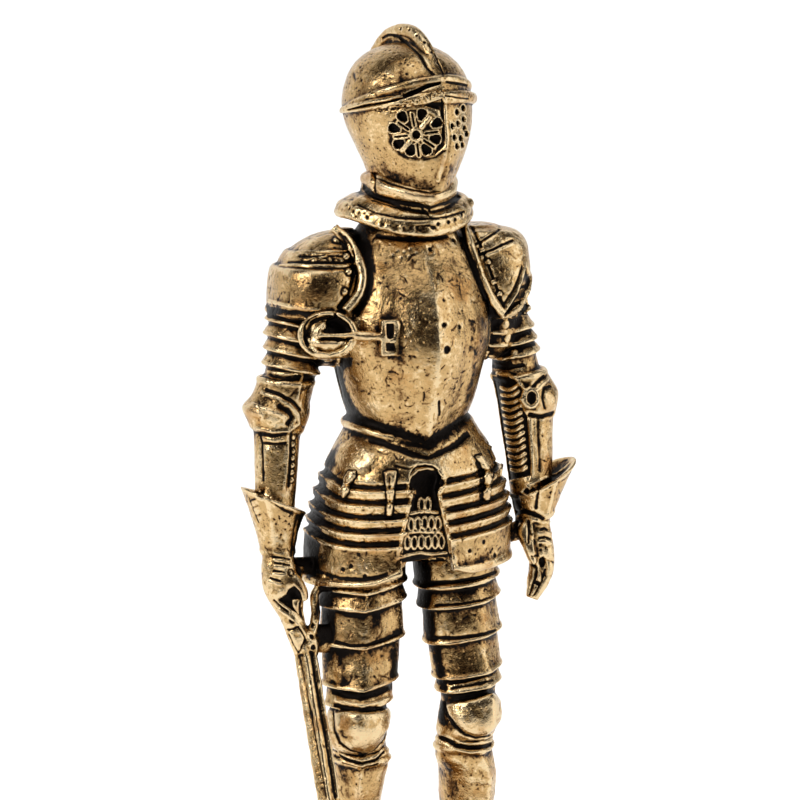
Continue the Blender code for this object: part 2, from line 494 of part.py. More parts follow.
def webs():
    """The metal left in the mould between his wrists and the skirt."""
    shells = [sweep([(-21.5, -2.2, 64.6), (-15.5, -1.2, 64.2)], 1.2, 1.5, (0.0, 1.0, 0.0), 6)]
    shells.append(sweep([(20.8, -1.4, 68.4), (15.0, -0.6, 67.0)], 1.0, 1.6, (0.0, 1.0, 0.0), 6))
    return shells


def knight_shells():
    """Every shell of the casting, the torso first."""
    shells = torso() + skirt() + collar() + helmet()
    for side in (-1, 1):
        shells += leg(side) + arm(side) + shoulder(side)
    return shells + sword() + lance_rest() + webs()


def add_mesh(name, points, faces, collection):
    """A mesh object in metres, its faces turned out."""
    mesh = bpy.data.meshes.new(name)
    place = np.array([0.0, FIGURE_BACK, PLINTH_HEIGHT + JOINT_GAP])
    mesh.from_pydata([tuple((p + place) * MM) for p in points], [], faces)
    shape = bmesh.new()
    shape.from_mesh(mesh)
    bmesh.ops.triangulate(shape, faces=shape.faces)
    bmesh.ops.recalc_face_normals(shape, faces=shape.faces)
    shape.to_mesh(mesh)
    shape.free()
    thing = bpy.data.objects.new(name, mesh)
    collection.objects.link(thing)
    return thing


def metal(name, colour, rough):
    """An old gold metal, as a Principled material."""
    material = bpy.data.materials.new(name)
    material.use_nodes = True
    shader = material.node_tree.nodes["Principled BSDF"]
    shader.inputs["Base Color"].default_value = (*colour, 1.0)
    shader.inputs["Metallic"].default_value = 1.0
    shader.inputs["Roughness"].default_value = rough
    return material


def helper(thing):
    """Mark an object as one that only shapes another."""
    thing.hide_render = True
    thing.display_type = "WIRE"


def make_knight(scene):
    """The casting: all its shells in one solid, with the opening in the skirt cut."""
    parts = bpy.data.collections.new("knight_forms")
    cutters = bpy.data.collections.new("knight_cutters")
    scene.collection.children.link(parts)
    scene.collection.children.link(cutters)
    shells = knight_shells()
    knight = add_mesh("knight", *shells[0], scene.collection)
    for number, shell in enumerate(shells[1:]):
        helper(add_mesh("form_%02d" % number, *shell, parts))
    helper(add_mesh("keyhole", *keyhole(), cutters))
    for name, kind, group in (("join", "UNION", parts), ("open", "DIFFERENCE", cutters)):
        change = knight.modifiers.new(name, "BOOLEAN")
        change.operation = kind
        change.operand_type = "COLLECTION"
        change.collection = group
    tidy = knight.modifiers.new("flat", "DECIMATE")
    tidy.decimate_type = "DISSOLVE"
    tidy.angle_limit = math.radians(FLAT_ANGLE)
    knight.modifiers.new("facets", "TRIANGULATE")
    knight.data.materials.append(metal("knight_brass", (0.60, 0.42, 0.18), 0.35))
    return knight


def make_plinth(scene):
    """The plinth: a low block with a narrower, chamfered step on top."""
    profile = [(0.0, 0.0), (0.0, PLINTH_STEP - 0.8), (0.8, PLINTH_STEP), (PLINTH_LEDGE, PLINTH_STEP),
               (PLINTH_LEDGE, PLINTH_HEIGHT - 0.7), (PLINTH_LEDGE + 0.7, PLINTH_HEIGHT)]
    shape = bmesh.new()
    rings = []
    for inset, height in profile:
        w, d = PLINTH_WIDTH / 2 - inset, PLINTH_DEPTH / 2 - inset
        corners = ((-w, -d), (w, -d), (w, d), (-w, d))
        rings.append([shape.verts.new((x * MM, y * MM, height * MM)) for x, y in corners])
    for low, high in zip(rings, rings[1:]):
        for k in range(4):
            shape.faces.new((low[k], low[(k + 1) % 4], high[(k + 1) % 4], high[k]))
    shape.faces.new(rings[0][::-1])
    shape.faces.new(rings[-1])
    mesh = bpy.data.meshes.new("plinth")
    shape.to_mesh(mesh)
    shape.free()
    plinth = bpy.data.objects.new("plinth", mesh)
    scene.collection.objects.link(plinth)
    mesh.materials.append(metal("plinth_brass", (0.55, 0.38, 0.16), 0.4))
    return plinth


def main():
    """Clear the scene and build both pieces."""
    for thing in list(bpy.data.objects):
        bpy.data.objects.remove(thing, do_unlink=True)
    scene = bpy.context.scene
    make_plinth(scene)
    make_knight(scene)


main()
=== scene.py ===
"""A small cast knight in full plate armour, in old gold with a dark patina, on a low stepped plinth.

The figure's own frame is in millimetres: z above the soles, -y to the front, +x to his left.
"""
import math
import bmesh
import bpy
import numpy as np
from mathutils import Matrix, Vector
from mathutils.bvhtree import BVHTree
from mathutils.kdtree import KDTree


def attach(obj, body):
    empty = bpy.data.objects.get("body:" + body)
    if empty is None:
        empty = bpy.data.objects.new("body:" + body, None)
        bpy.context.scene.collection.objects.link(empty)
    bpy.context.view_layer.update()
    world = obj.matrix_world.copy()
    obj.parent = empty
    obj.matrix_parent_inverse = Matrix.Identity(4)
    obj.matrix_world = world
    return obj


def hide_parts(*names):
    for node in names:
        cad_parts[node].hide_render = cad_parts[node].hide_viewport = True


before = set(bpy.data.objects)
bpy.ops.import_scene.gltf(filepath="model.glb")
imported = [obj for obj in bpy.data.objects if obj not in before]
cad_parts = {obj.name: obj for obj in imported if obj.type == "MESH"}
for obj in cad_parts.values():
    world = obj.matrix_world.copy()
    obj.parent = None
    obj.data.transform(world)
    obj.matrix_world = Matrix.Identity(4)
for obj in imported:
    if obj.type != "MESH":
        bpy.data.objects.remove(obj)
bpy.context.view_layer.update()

# Sizes in millimetres unless a name says otherwise
MM = 0.001
PLINTH_WIDTH = 60.0
PLINTH_DEPTH = 44.0
PLINTH_HEIGHT = 7.5
PLINTH_STEP = 3.6
PLINTH_LEDGE = 2.6
JOINT_GAP = 0.3
FIGURE_BACK = 5.0
PLACE = np.array([0.0, FIGURE_BACK, PLINTH_HEIGHT + JOINT_GAP])
HEAD_YAW = 15.0
LEG_YAW = 20.0
THIGH_YAW = {-1: -13.0, 1: 20.0}
THIGH_ROLL = {-1: 4.0, 1: 8.0}
BAND_DROP = {-1: 0.9, 1: 0.0}
BAND_EDGES = {-1: (60.9, 58.1, 52.1, 45.4, 42.1), 1: (60.6, 57.4, 51.7, 45.9, 43.6)}
KNEE_RISE = {-1: 0.2, 1: 1.0}
HIP_ROLL = 5.0
HIP_SHIFT = 0.15
SPLAY = {-1: 0.15, 1: 1.0}
KNEE_LEAN = {-1: -0.6, 1: -0.9}
KNEE_LEVEL = 36.0
KEEL_WIDTH = 0.42
LIP = 0.55
GROOVE = 0.45
LAP = 0.4

# The photograph's camera, round the figure's own axis
VIEW_AZIMUTH = -20.0
VIEW_ELEVATION = 8.0
VIEW_DISTANCE = 600.0
VIEW_TARGET = (-1.0525, 0.3831, 89.92)
FRAME_SIZE = 800.0
FOCAL_PIXELS = 3750.0
SENSOR = 36.0
LIGHT_CENTRE = (0.0, 0.0, 0.09)
RAYS = 14
RAY_START = 0.1 * MM
RAY_REACH = 14.0 * MM
JUMP = 1.5
DEPTH_CELL = 2.0
DEPTH_CELLS = 600

HEAD_VOXEL = 0.11
BODY_VOXEL = 0.18
HEAD_FACES = 50000
BODY_FACES = 143000


def smooth_rows(rows, steps=24):
    """Fill in a profile table with a smooth curve through its rows."""
    rows = np.array(sorted(tuple(row) for row in rows), float)
    slopes = np.gradient(rows, axis=0)
    out = []
    for i in range(len(rows) - 1):
        for t in np.arange(steps) / steps:
            out.append(rows[i] * (1 + 2 * t) * (1 - t) ** 2 + slopes[i] * t * (1 - t) ** 2
                       + rows[i + 1] * t * t * (3 - 2 * t) + slopes[i + 1] * t * t * (t - 1))
    out.append(rows[-1])
    return np.array(out)


def level(height, angles):
    """A height for each angle, from a number or a rule."""
    if callable(height):
        return np.array([height(a) for a in angles], float)
    return np.full(len(angles), float(height))


class Form:
    """A stack of oval rings: each row is z, x, y, half-width, front depth, back depth, keel."""

    def __init__(self, rows, yaw=0.0, roll=0.0, square=2.0, soft=False):
        self.rows = smooth_rows(rows)
        self.yaw = math.radians(yaw)
        self.roll = math.tan(math.radians(roll))
        self.square = square
        self.soft = soft

    def points(self, angles, z, out=0.0, drop=0.0):
        """Points on the surface: the angle is 0 at the front and 90 at his left, in degrees."""
        x, y, half, front, back, keel = (np.interp(z, self.rows[:, 0], self.rows[:, k]) for k in range(1, 7))
        s, c = np.sin(np.radians(angles)), np.cos(np.radians(angles))
        power = 2.0 / self.square
        side = (half + out) * np.sign(s) * np.abs(s) ** power
        ahead = (np.where(c > 0, front, back) + out) * np.sign(c) * np.abs(c) ** power
        ahead = ahead + np.where(c > 0, keel * np.maximum(0.0, 1 - np.abs(s) / KEEL_WIDTH), 0.0)
        fall = c * c if self.soft else 1 - np.abs(s)
        z = z - drop * np.where(c > 0, fall, 0.0)
        px = x + side * math.cos(self.yaw) + ahead * math.sin(self.yaw)
        py = y + side * math.sin(self.yaw) - ahead * math.cos(self.yaw)
        return np.stack([px, py, z + self.roll * side], axis=-1)

    def point(self, angle, z, out=0.0, drop=0.0):
        """One point on the surface."""
        return self.points(np.array([float(angle)]), np.array([float(z)]), out, drop)[0]


def skin(rings):
    """A closed shell through rings of equal count, fanned shut at both ends: points, quads, triangles."""
    rings = np.asarray(rings, float)
    rows, count = rings.shape[:2]
    points = np.vstack([rings.reshape(-1, 3), rings[0].mean(axis=0), rings[-1].mean(axis=0)])
    k = np.arange(count)
    after = (k + 1) % count
    base = (np.arange(rows - 1) * count)[:, None]
    quads = np.stack([base + k, base + after, base + after + count, base + k + count], axis=-1).reshape(-1, 4)
    last = (rows - 1) * count
    low = np.stack([after, k, np.full(count, rows * count)], axis=-1)
    high = np.stack([last + k, last + after, np.full(count, rows * count + 1)], axis=-1)
    return points, quads, np.vstack([low, high])


def loft(form, stations, count=96, step=0.45):
    """A shell from stations of height, distance out and drop, lowest first."""
    angles = np.arange(count) * 360.0 / count
    rings = []
    for (za, oa, da), (zb, ob, db) in zip(stations, stations[1:]):
        low, high = level(za, angles), level(zb, angles)
        parts = max(1, int(math.ceil(np.abs(high - low).max() / step)))
        for t in np.arange(parts) / parts:
            rings.append(form.points(angles, low + (high - low) * t, oa + (ob - oa) * t, da + (db - da) * t))
    z, out, drop = stations[-1]
    rings.append(form.points(angles, level(z, angles), out, drop))
    return skin(rings)


def lip(edge, out, drop=0.0, foot=-GROOVE):
    """Stations of one rolled lower edge with the groove under it, lowest first."""
    return [(edge - LAP, foot, drop), (edge - 0.06, foot * 0.3, drop), (edge + 0.02, out * 0.8, drop),
            (edge + 0.22, out, drop), (edge + 0.46, out * 0.85, drop), (edge + 0.66, out * 0.35, drop),
            (edge + 1.1, out * 0.12, drop)]


def ledge(edge, out, drop=0.0, foot=-GROOVE):
    """Stations of a plate's upper edge, standing proud of the groove above it, lowest first."""
    raised = [(-0.95, 0.0), (-0.55, out * 0.25), (-0.28, out * 0.8), (-0.12, out), (0.0, out * 0.6),
              (0.05, foot * 0.4), (0.3, foot), (0.72, foot), (1.0, foot * 0.2)]
    return [((lambda a, up=up: edge(a) + up), reach, drop) for up, reach in raised]


def lames(top, edges, foot, out=LIP, drop=0.0):
    """Stations for plates that overlap downwards: each rolls at its lower edge and steps in below."""
    stations = [(foot, 0.0, drop)]
    for edge in edges[::-1]:
        stations += lip(edge, out, drop)
    return stations + [(top, 0.0, drop)]


def curve(points, steps):
    """A smooth path through a few points."""
    rows = np.array([[i, *p] for i, p in enumerate(points)], float)
    dense = smooth_rows(rows)
    where = np.linspace(0, len(points) - 1, steps)
    return np.stack([np.interp(where, dense[:, 0], dense[:, k]) for k in (1, 2, 3)], axis=-1)


def spread(values, steps):
    """A list of sizes along a path, filled in to a number of steps."""
    if np.ndim(values) == 0:
        return np.full(steps, float(values))
    return np.interp(np.linspace(0, 1, steps), np.linspace(0, 1, len(values)), values)


def sweep(path, widths, heights, side, sides=14, power=2.0):
    """A closed bar along a path, each section an oval: width along the side direction, height across."""
    path = np.asarray(path, float)
    widths, heights = spread(widths, len(path)), spread(heights, len(path))
    a = 2 * math.pi * (np.arange(sides) + 0.5) / sides
    u = np.sign(np.cos(a)) * np.abs(np.cos(a)) ** (2 / power)
    v = np.sign(np.sin(a)) * np.abs(np.sin(a)) ** (2 / power)
    rings = []
    for i, p in enumerate(path):
        along = path[min(i + 1, len(path) - 1)] - path[max(i - 1, 0)]
        along /= np.linalg.norm(along)
        across = np.cross(along, side)
        across /= np.linalg.norm(across)
        wide = np.cross(across, along)
        rings.append(p + np.outer(u, wide) * widths[i] + np.outer(v, across) * heights[i])
    return skin(rings)


def bar(points, widths, heights, side, steps=24, sides=14, power=2.0):
    """A bar along a smooth path through a few points."""
    return sweep(curve(points, steps), widths, heights, side, sides, power)


def surface_path(form, angles, heights, out, steps, side_step=0.0):
    """A path laid on a form, by angle and height; past 50 degrees to his left it steps in or out."""
    rows = smooth_rows([[i, a, h] for i, (a, h) in enumerate(zip(angles, heights))])
    where = np.linspace(0, len(angles) - 1, steps)
    angle, height = (np.interp(where, rows[:, 0], rows[:, k]) for k in (1, 2))
    step = side_step * np.clip((angle - 50.0) / 30.0, 0.0, 1.0)
    return np.stack([form.point(a, h, out + d) for a, h, d in zip(angle, height, step)])


# The figure's forms: z, x, y, half-width, front, back, keel
HELMET = Form([(121.5, -0.2, -0.6, 6.3, 8.2, 6.6, 0.4), (125.0, -0.1, -0.5, 6.3, 9.0, 6.3, 0.7),
               (127.5, 0.0, -0.5, 6.95, 10.0, 7.0, 0.8), (130.5, 0.0, -0.5, 8.3, 10.9, 8.4, 0.8),
               (133.5, -0.1, -0.5, 9.45, 11.1, 9.9, 0.7), (136.8, -0.3, -0.5, 10.1, 11.0, 10.6, 0.5),
               (140.0, -0.3, -0.5, 9.8, 10.5, 10.4, 0.3), (143.0, -0.3, -0.5, 8.5, 9.1, 9.2, 0.2),
               (145.2, -0.3, -0.5, 6.2, 6.8, 7.1, 0.1), (146.6, -0.3, -0.5, 3.2, 3.5, 3.9, 0.0),
               (147.1, -0.3, -0.5, 0.4, 0.4, 0.4, 0.0)], yaw=HEAD_YAW)
COLLAR = Form([(118.0, -0.5, 0.0, 11.0, 9.6, 10.2, 0.2), (121.4, -0.5, -0.2, 11.0, 9.7, 10.2, 0.3),
               (122.6, -0.1, -0.3, 9.9, 9.3, 9.2, 0.5), (124.6, 0.0, -0.4, 7.1, 8.6, 7.0, 0.6),
               (128.5, -0.1, -0.5, 7.0, 9.0, 7.1, 0.6)], yaw=4.0, soft=True)
TORSO = Form([(80.0, 0.0, 0.0, 10.0, 8.4, 8.2, 0.5), (87.0, 0.0, 0.0, 9.7, 8.7, 8.0, 1.2),
              (91.0, 0.0, 0.0, 10.8, 10.6, 8.5, 1.7), (96.0, 0.0, 0.0, 12.0, 12.3, 9.9, 1.9),
              (101.0, 0.0, 0.0, 13.2, 12.9, 10.8, 1.8), (108.0, 0.0, 0.0, 12.8, 11.2, 10.8, 1.4),
              (113.0, 0.0, 0.0, 11.5, 8.8, 9.8, 0.9), (116.5, 0.0, 0.0, 9.0, 7.4, 8.2, 0.5),
              (120.0, 0.0, 0.0, 6.2, 5.8, 6.4, 0.2)], square=2.15)
SKIRT = Form([(60.0, -0.1, 0.0, 16.8, 12.9, 12.4, 0.0), (64.0, -0.1, 0.0, 16.9, 12.9, 12.6, 0.0),
              (68.4, 0.1, 0.0, 16.9, 12.8, 12.5, 0.0), (73.4, 0.1, 0.0, 16.3, 12.5, 12.1, 0.0),
              (77.3, 0.1, 0.0, 15.2, 12.0, 11.4, 0.2), (81.7, 0.1, 0.0, 13.2, 11.2, 10.4, 0.4),
              (84.6, 0.0, 0.0, 11.4, 10.2, 9.5, 0.5), (87.6, 0.0, 0.0, 9.6, 8.7, 8.1, 0.6)],
             yaw=-3.0, roll=HIP_ROLL, square=2.1)

ARMPIT_ROWS = [(96.0, 13.6, 0.6, 2.0, 2.4, 2.4), (98.5, 14.0, 0.8, 4.2, 4.6, 4.6),
               (104.0, 14.4, 1.0, 5.0, 5.2, 5.2), (110.0, 13.5, 1.2, 4.5, 5.0, 5.0)]


def mirrored(rows, side):
    """The rows of a leg on one side: the knees lean a little to his right, the feet to his left."""
    out = []
    for z, x, *rest in rows:
        splay = SPLAY[side] * min(1.0, max(0.0, (KNEE_LEVEL - z) / 6.0))
        lean = KNEE_LEAN[side] * max(0.0, 1 - abs(z - KNEE_LEVEL) / 8.0)
        out.append((z, side * x + splay + lean + HIP_SHIFT, *rest))
    return out


THIGH_ROWS = [(38.4, 9.4, -3.3, 4.7, 4.3, 4.0, 0.4), (41.6, 9.4, -3.2, 5.0, 4.4, 4.2, 0.5),
              (45.5, 9.15, -2.8, 5.8, 4.6, 4.5, 0.6), (50.5, 8.8, -2.0, 6.6, 4.9, 4.9, 0.6),
              (56.5, 8.35, -1.3, 6.85, 5.7, 5.7, 0.4), (62.2, 7.95, -0.6, 6.9, 6.4, 6.4, 0.2),
              (69.0, 7.1, 0.0, 6.6, 6.2, 6.2, 0.0)]
KNEE_ROWS = [(34.1, 9.2, -2.9, 4.1, 4.2, 3.8, 0.0), (36.1, 9.35, -3.1, 4.8, 5.3, 3.9, 0.2),
             (38.7, 9.4, -3.3, 5.0, 5.9, 3.9, 0.4), (41.3, 9.4, -3.2, 4.7, 5.4, 3.9, 0.6),
             (43.2, 9.3, -3.0, 4.2, 4.5, 3.7, 0.4)]
SHIN_ROWS = [(3.5, 9.5, 1.6, 3.3, 3.6, 3.8, 0.2), (8.0, 9.5, 1.5, 2.9, 3.3, 3.4, 0.3),
             (12.0, 9.5, 1.2, 3.0, 3.4, 3.6, 0.4), (18.0, 9.3, 0.5, 3.3, 3.9, 4.3, 0.5),
             (24.0, 9.2, -0.5, 3.8, 4.2, 4.9, 0.6), (28.8, 8.95, -1.6, 4.1, 4.3, 4.9, 0.6),
             (32.6, 8.7, -2.5, 5.1, 4.3, 4.4, 0.5), (38.6, 9.3, -3.3, 4.4, 4.2, 4.0, 0.3)]
FOOT_ROWS = [(-4.6, 1.4, 4.5), (-3.2, 2.7, 7.6), (-0.5, 3.2, 9.4), (2.5, 3.5, 8.4), (6.0, 3.9, 6.6),
             (10.0, 4.4, 4.9), (13.5, 4.7, 4.0), (16.2, 4.3, 3.1), (18.0, 2.8, 2.2)]
THIGHS = {s: Form(mirrored(THIGH_ROWS, s), yaw=THIGH_YAW[s], roll=THIGH_ROLL[s]) for s in (-1, 1)}
KNEES = {s: Form(mirrored(KNEE_ROWS, s), yaw=s * LEG_YAW) for s in (-1, 1)}
SHINS = {s: Form(mirrored(SHIN_ROWS, s), yaw=s * LEG_YAW) for s in (-1, 1)}
ANKLES = {s: (mirrored(SHIN_ROWS, s)[1][1], 1.5) for s in (-1, 1)}
UPPER_ARMS = {
    -1: Form([(90.5, -20.6, 1.1, 4.1, 4.4, 4.4, 0.0), (94.5, -19.3, 1.4, 4.3, 4.6, 4.6, 0.0),
              (98.0, -19.0, 1.5, 4.1, 4.6, 4.6, 0.0), (101.5, -18.9, 1.6, 4.0, 4.7, 4.7, 0.0),
              (108.5, -17.3, 1.6, 4.2, 4.8, 4.8, 0.0)], roll=-12.0),
    1: Form([(89.0, 20.8, 1.2, 4.0, 4.3, 4.3, 0.0), (93.2, 19.5, 1.7, 4.1, 4.5, 4.5, 0.0),
             (97.7, 18.8, 1.8, 3.8, 4.5, 4.5, 0.0), (102.0, 17.7, 2.0, 3.8, 4.6, 4.6, 0.0),
             (107.5, 16.4, 2.0, 4.1, 4.8, 4.8, 0.0)], roll=10.0)}
COUTERS = {
    -1: Form([(85.6, -21.8, 0.4, 3.7, 3.9, 3.9, 0.0), (87.3, -21.8, 0.6, 4.7, 4.7, 4.6, 0.0),
              (89.3, -21.8, 0.9, 5.4, 5.1, 5.0, 0.0), (91.4, -20.8, 1.2, 4.6, 4.9, 4.8, 0.0),
              (94.4, -19.8, 1.4, 4.4, 4.7, 4.6, 0.0)], roll=-6.0),
    1: Form([(85.4, 21.4, 0.6, 3.7, 3.9, 3.9, 0.0), (87.2, 21.4, 0.9, 4.5, 4.6, 4.6, 0.0),
             (89.5, 21.2, 1.1, 5.0, 5.1, 5.0, 0.0), (91.7, 20.5, 1.5, 4.6, 4.8, 4.8, 0.0),
             (93.8, 19.6, 1.7, 4.2, 4.6, 4.6, 0.0)], roll=8.0)}
FOREARMS = {
    -1: Form([(64.6, -22.7, -2.2, 2.4, 2.6, 2.6, 0.0), (67.5, -22.6, -1.6, 2.3, 2.6, 2.6, 0.0),
              (72.0, -22.5, -1.0, 2.8, 2.9, 2.9, 0.0), (77.3, -22.3, -0.4, 3.3, 3.3, 3.3, 0.0),
              (85.3, -21.8, 0.3, 3.7, 3.8, 3.8, 0.0), (90.0, -21.5, 0.9, 4.0, 4.2, 4.2, 0.0)]),
    1: Form([(65.5, 21.5, -1.9, 2.4, 2.5, 2.5, 0.0), (69.6, 21.1, -1.4, 2.6, 2.7, 2.7, 0.0),
             (74.5, 21.1, -0.8, 3.4, 3.4, 3.4, 0.0), (80.6, 21.0, 0.0, 3.9, 3.9, 3.9, 0.0),
             (89.3, 20.8, 1.1, 4.7, 4.4, 4.4, 0.0)])}
SHOULDERS = {
    -1: Form([(102.9, -15.4, 1.5, 6.3, 7.6, 8.0, 0.0), (105.2, -15.4, 1.5, 6.7, 8.7, 9.0, 0.0),
              (108.7, -15.1, 1.5, 6.9, 9.0, 9.2, 0.0), (111.7, -14.6, 1.5, 6.9, 8.4, 8.6, 0.0),
              (114.6, -13.3, 1.5, 6.1, 7.0, 7.3, 0.0), (116.6, -11.5, 1.5, 4.4, 5.0, 5.3, 0.0),
              (117.6, -9.9, 1.5, 1.8, 1.9, 2.1, 0.0)], square=2.4),
    1: Form([(102.4, 14.3, 1.8, 5.0, 6.9, 7.4, 0.0), (104.6, 14.4, 1.6, 5.5, 8.2, 8.6, 0.0),
             (108.5, 14.4, 1.5, 6.0, 8.7, 9.0, 0.0), (112.0, 14.2, 1.5, 6.3, 8.1, 8.5, 0.0),
             (115.6, 13.5, 1.5, 6.2, 6.8, 7.3, 0.0), (117.5, 11.9, 1.5, 4.9, 5.1, 5.5, 0.0),
             (118.3, 10.4, 1.5, 2.2, 2.3, 2.5, 0.0)], square=2.4)}
CUFFS = {-1: ((-22.5, -2.0, 66.4, 2.5, 0.0), (-22.9, -1.0, 75.3, 5.0, -23.0)),
         1: ((21.5, -1.5, 69.7, 2.8, 8.0), (23.1, -0.9, 76.4, 5.3, 29.0))}
HANDS = {
    -1: [(-22.6, -2.3, 67.5, 2.3, 2.2), (-22.6, -2.8, 64.8, 2.8, 2.4), (-22.3, -3.1, 62.0, 3.0, 2.6),
         (-21.5, -3.5, 59.6, 2.7, 2.5), (-20.9, -3.7, 57.3, 2.0, 2.4), (-20.4, -4.0, 55.4, 1.8, 2.2),
         (-19.8, -4.2, 53.4, 1.7, 2.0), (-19.2, -4.5, 51.2, 1.5, 1.5)],
    1: [(21.4, -1.8, 70.0, 2.3, 2.2), (21.9, -2.1, 67.2, 2.1, 2.4), (22.3, -2.3, 64.4, 2.2, 2.3),
        (22.3, -2.5, 61.6, 2.1, 2.0), (21.5, -2.7, 59.2, 1.8, 1.5), (20.5, -2.9, 56.8, 1.0, 1.0)]}
GUARD = (-18.3, -4.6, 52.6)
BLADE_TOP = (-19.0, -4.6, 52.0)
BLADE_TIP = (-16.2, -22.5, 0.35)
BESAGEW = (-16.3, -8.6, 102.0)
BRACKET = (-7.1, -11.2, 101.6)
VIEW_RIGHT = (0.94, -0.34, 0.0)


def helmet():
    """The close helmet: bowl, visor ridges either side of the sight, and the comb."""
    shells = [loft(HELMET, [(z, 0.0, 0.0) for z in (122.5, 130.0, 138.0, 144.0, 147.0)], 160, 0.25)]
    for peak, out, radius in ((141.6, -0.1, 0.75), (138.9, 0.2, 1.05)):
        angles = [-118, -85, -55, -25, 0, 25, 55, 85, 118]
        rise = [max(0.0, math.cos(math.radians(a * 0.78))) ** 1.2 for a in angles]
        levels = [136.3 + (peak - 136.3) * r for r in rise]
        path = surface_path(HELMET, angles, levels, out, 90, side_step=-0.75)
        swell = 0.45 + 0.55 * np.sin(math.pi * np.linspace(0, 1, 90)) ** 0.7
        shells.append(sweep(path, radius * swell, 0.8 * radius * swell, (0, 0, 1), 14))
    turn = math.radians(HEAD_YAW)
    forward = np.array([math.sin(turn), -math.cos(turn), 0.0])
    centre = np.array([-0.3, -0.5, 0.0])
    ridge = [(8.3, 141.6), (6.2, 145.2), (4.0, 147.4), (1.5, 148.6), (-1.5, 148.8), (-5.0, 147.8),
             (-8.4, 144.9), (-10.5, 140.5), (-10.6, 135.0)]
    side = np.cross(forward, (0, 0, 1))
    path = curve([centre + forward * f + np.array([0, 0, z]) for f, z in ridge], 120)
    taper = np.interp(np.linspace(0, 1, 120), (0.0, 0.86, 1.0), (1.0, 1.0, 0.4))
    shells.append(sweep(path, 1.0 * taper, 1.05 * taper, side, 16, 2.4))
    web = curve([centre + forward * f * 0.9 + np.array([0, 0, z - 1.3]) for f, z in ridge], 80)
    shells.append(sweep(web, 0.62, 1.3, side, 10))
    return shells


def collar():
    """The gorget: a flange that drops to a point in front, and the rolled neck plates above it."""
    stations = [(119.6, -3.2, 2.0), (119.5, -0.6, 2.5), (119.7, 0.0, 2.7), (120.3, 0.25, 2.8),
                (121.0, 0.0, 2.8), (122.0, 0.0, 2.8), (123.0, -0.1, 2.6), (123.35, -0.9, 2.5),
                (123.7, -0.3, 2.45), (124.3, 0.25, 2.4), (124.8, 0.4, 2.4), (125.1, 0.7, 2.4),
                (125.6, 0.8, 2.35), (126.1, 0.6, 2.3), (126.5, 0.0, 2.2), (126.8, -0.9, 2.1),
                (127.6, -2.2, 2.0)]
    return [loft(COLLAR, stations, 160, 0.3)]


def torso():
    """The breastplate and backplate, with the rolled waist flange."""
    stations = [(82.0, 0.0, 3.0), (85.6, 0.0, 3.0), (85.8, 0.4, 3.0), (86.1, 0.9, 3.0), (86.6, 1.1, 3.0),
                (87.1, 0.9, 3.0), (87.4, 0.3, 2.9), (87.9, -0.1, 2.6), (89.2, 0.0, 1.5), (91.5, 0.0, 0.0),
                (100.0, 0.0, 0.0), (119.6, 0.0, 0.0)]
    shells = [loft(TORSO, stations, 200)]
    for side in (-1, 1):
        pit = Form([(z, side * x, *rest, 0.0) for z, x, *rest in ARMPIT_ROWS])
        shells.append(loft(pit, [(z, 0.0, 0.0) for z in (96.2, 109.0)], 60))
    return shells


def skirt_edge(angle):
    """The height of the tassets' lower edge: it rises at the front, where the two tassets part."""
    turn = (angle + 180.0) % 360.0 - 180.0
    return 62.8 + 2.4 * max(0.0, 1 - abs(turn + 3.0) / 26.0)


def lame_rise(angle):
    """How much higher the skirt's lames run on his right side than in front."""
    turn = (angle + 180.0) % 360.0 - 180.0
    return 2.0 * math.exp(-((turn + 95.0) / 34.0) ** 2)


def skirt():
    """The fauld: a plain hip plate, four lames that overlap upwards and the deep tassets, hollow below."""
    stations = [(65.8, -2.4, 0.0), (lambda a: skirt_edge(a) + 1.6, -1.6, 0.0), (skirt_edge, -1.0, 0.0),
                (skirt_edge, 0.1, 0.0), (lambda a: skirt_edge(a) + 0.3, 0.55, 0.0),
                (lambda a: skirt_edge(a) + 0.8, 0.5, 0.0), (lambda a: skirt_edge(a) + 1.3, 0.15, 0.0),
                (66.8, 0.0, 0.0)]
    for edge in (69.1, 71.25, 73.4, 75.65, 77.9):
        stations += ledge(lambda a, edge=edge: edge + lame_rise(a), 0.4, 0.3, -0.55)
    stations += [(82.0, 0.0, 0.3), (84.2, 0.0, 0.6), (86.6, 0.0, 1.0)]
    return loft(SKIRT, stations, 200, 0.4)


def keyhole():
    """The cutter for the opening in the skirt's front, which leaves the mail behind it standing."""
    outline = [(-2.6, 79.0), (-2.2, 80.3), (-1.2, 81.0), (0.0, 81.2), (1.2, 81.0), (2.2, 80.3), (2.6, 79.0),
               (2.2, 77.8), (1.9, 77.1), (2.3, 75.6), (3.0, 73.0), (3.7, 69.5), (4.2, 65.0), (4.3, 58.0),
               (-4.3, 58.0), (-4.2, 65.0), (-3.7, 69.5), (-3.0, 73.0), (-2.3, 75.6), (-1.9, 77.1),
               (-2.2, 77.8)]
    shift = -1.1
    depth = [float(np.interp(z, SKIRT.rows[:, 0], SKIRT.rows[:, 4])) - 1.7 for _, z in outline]
    front = [(x + shift, -22.0, z) for x, z in outline]
    back = [(x + shift, -d, z) for (x, z), d in zip(outline, depth)]
    return skin([back, front])


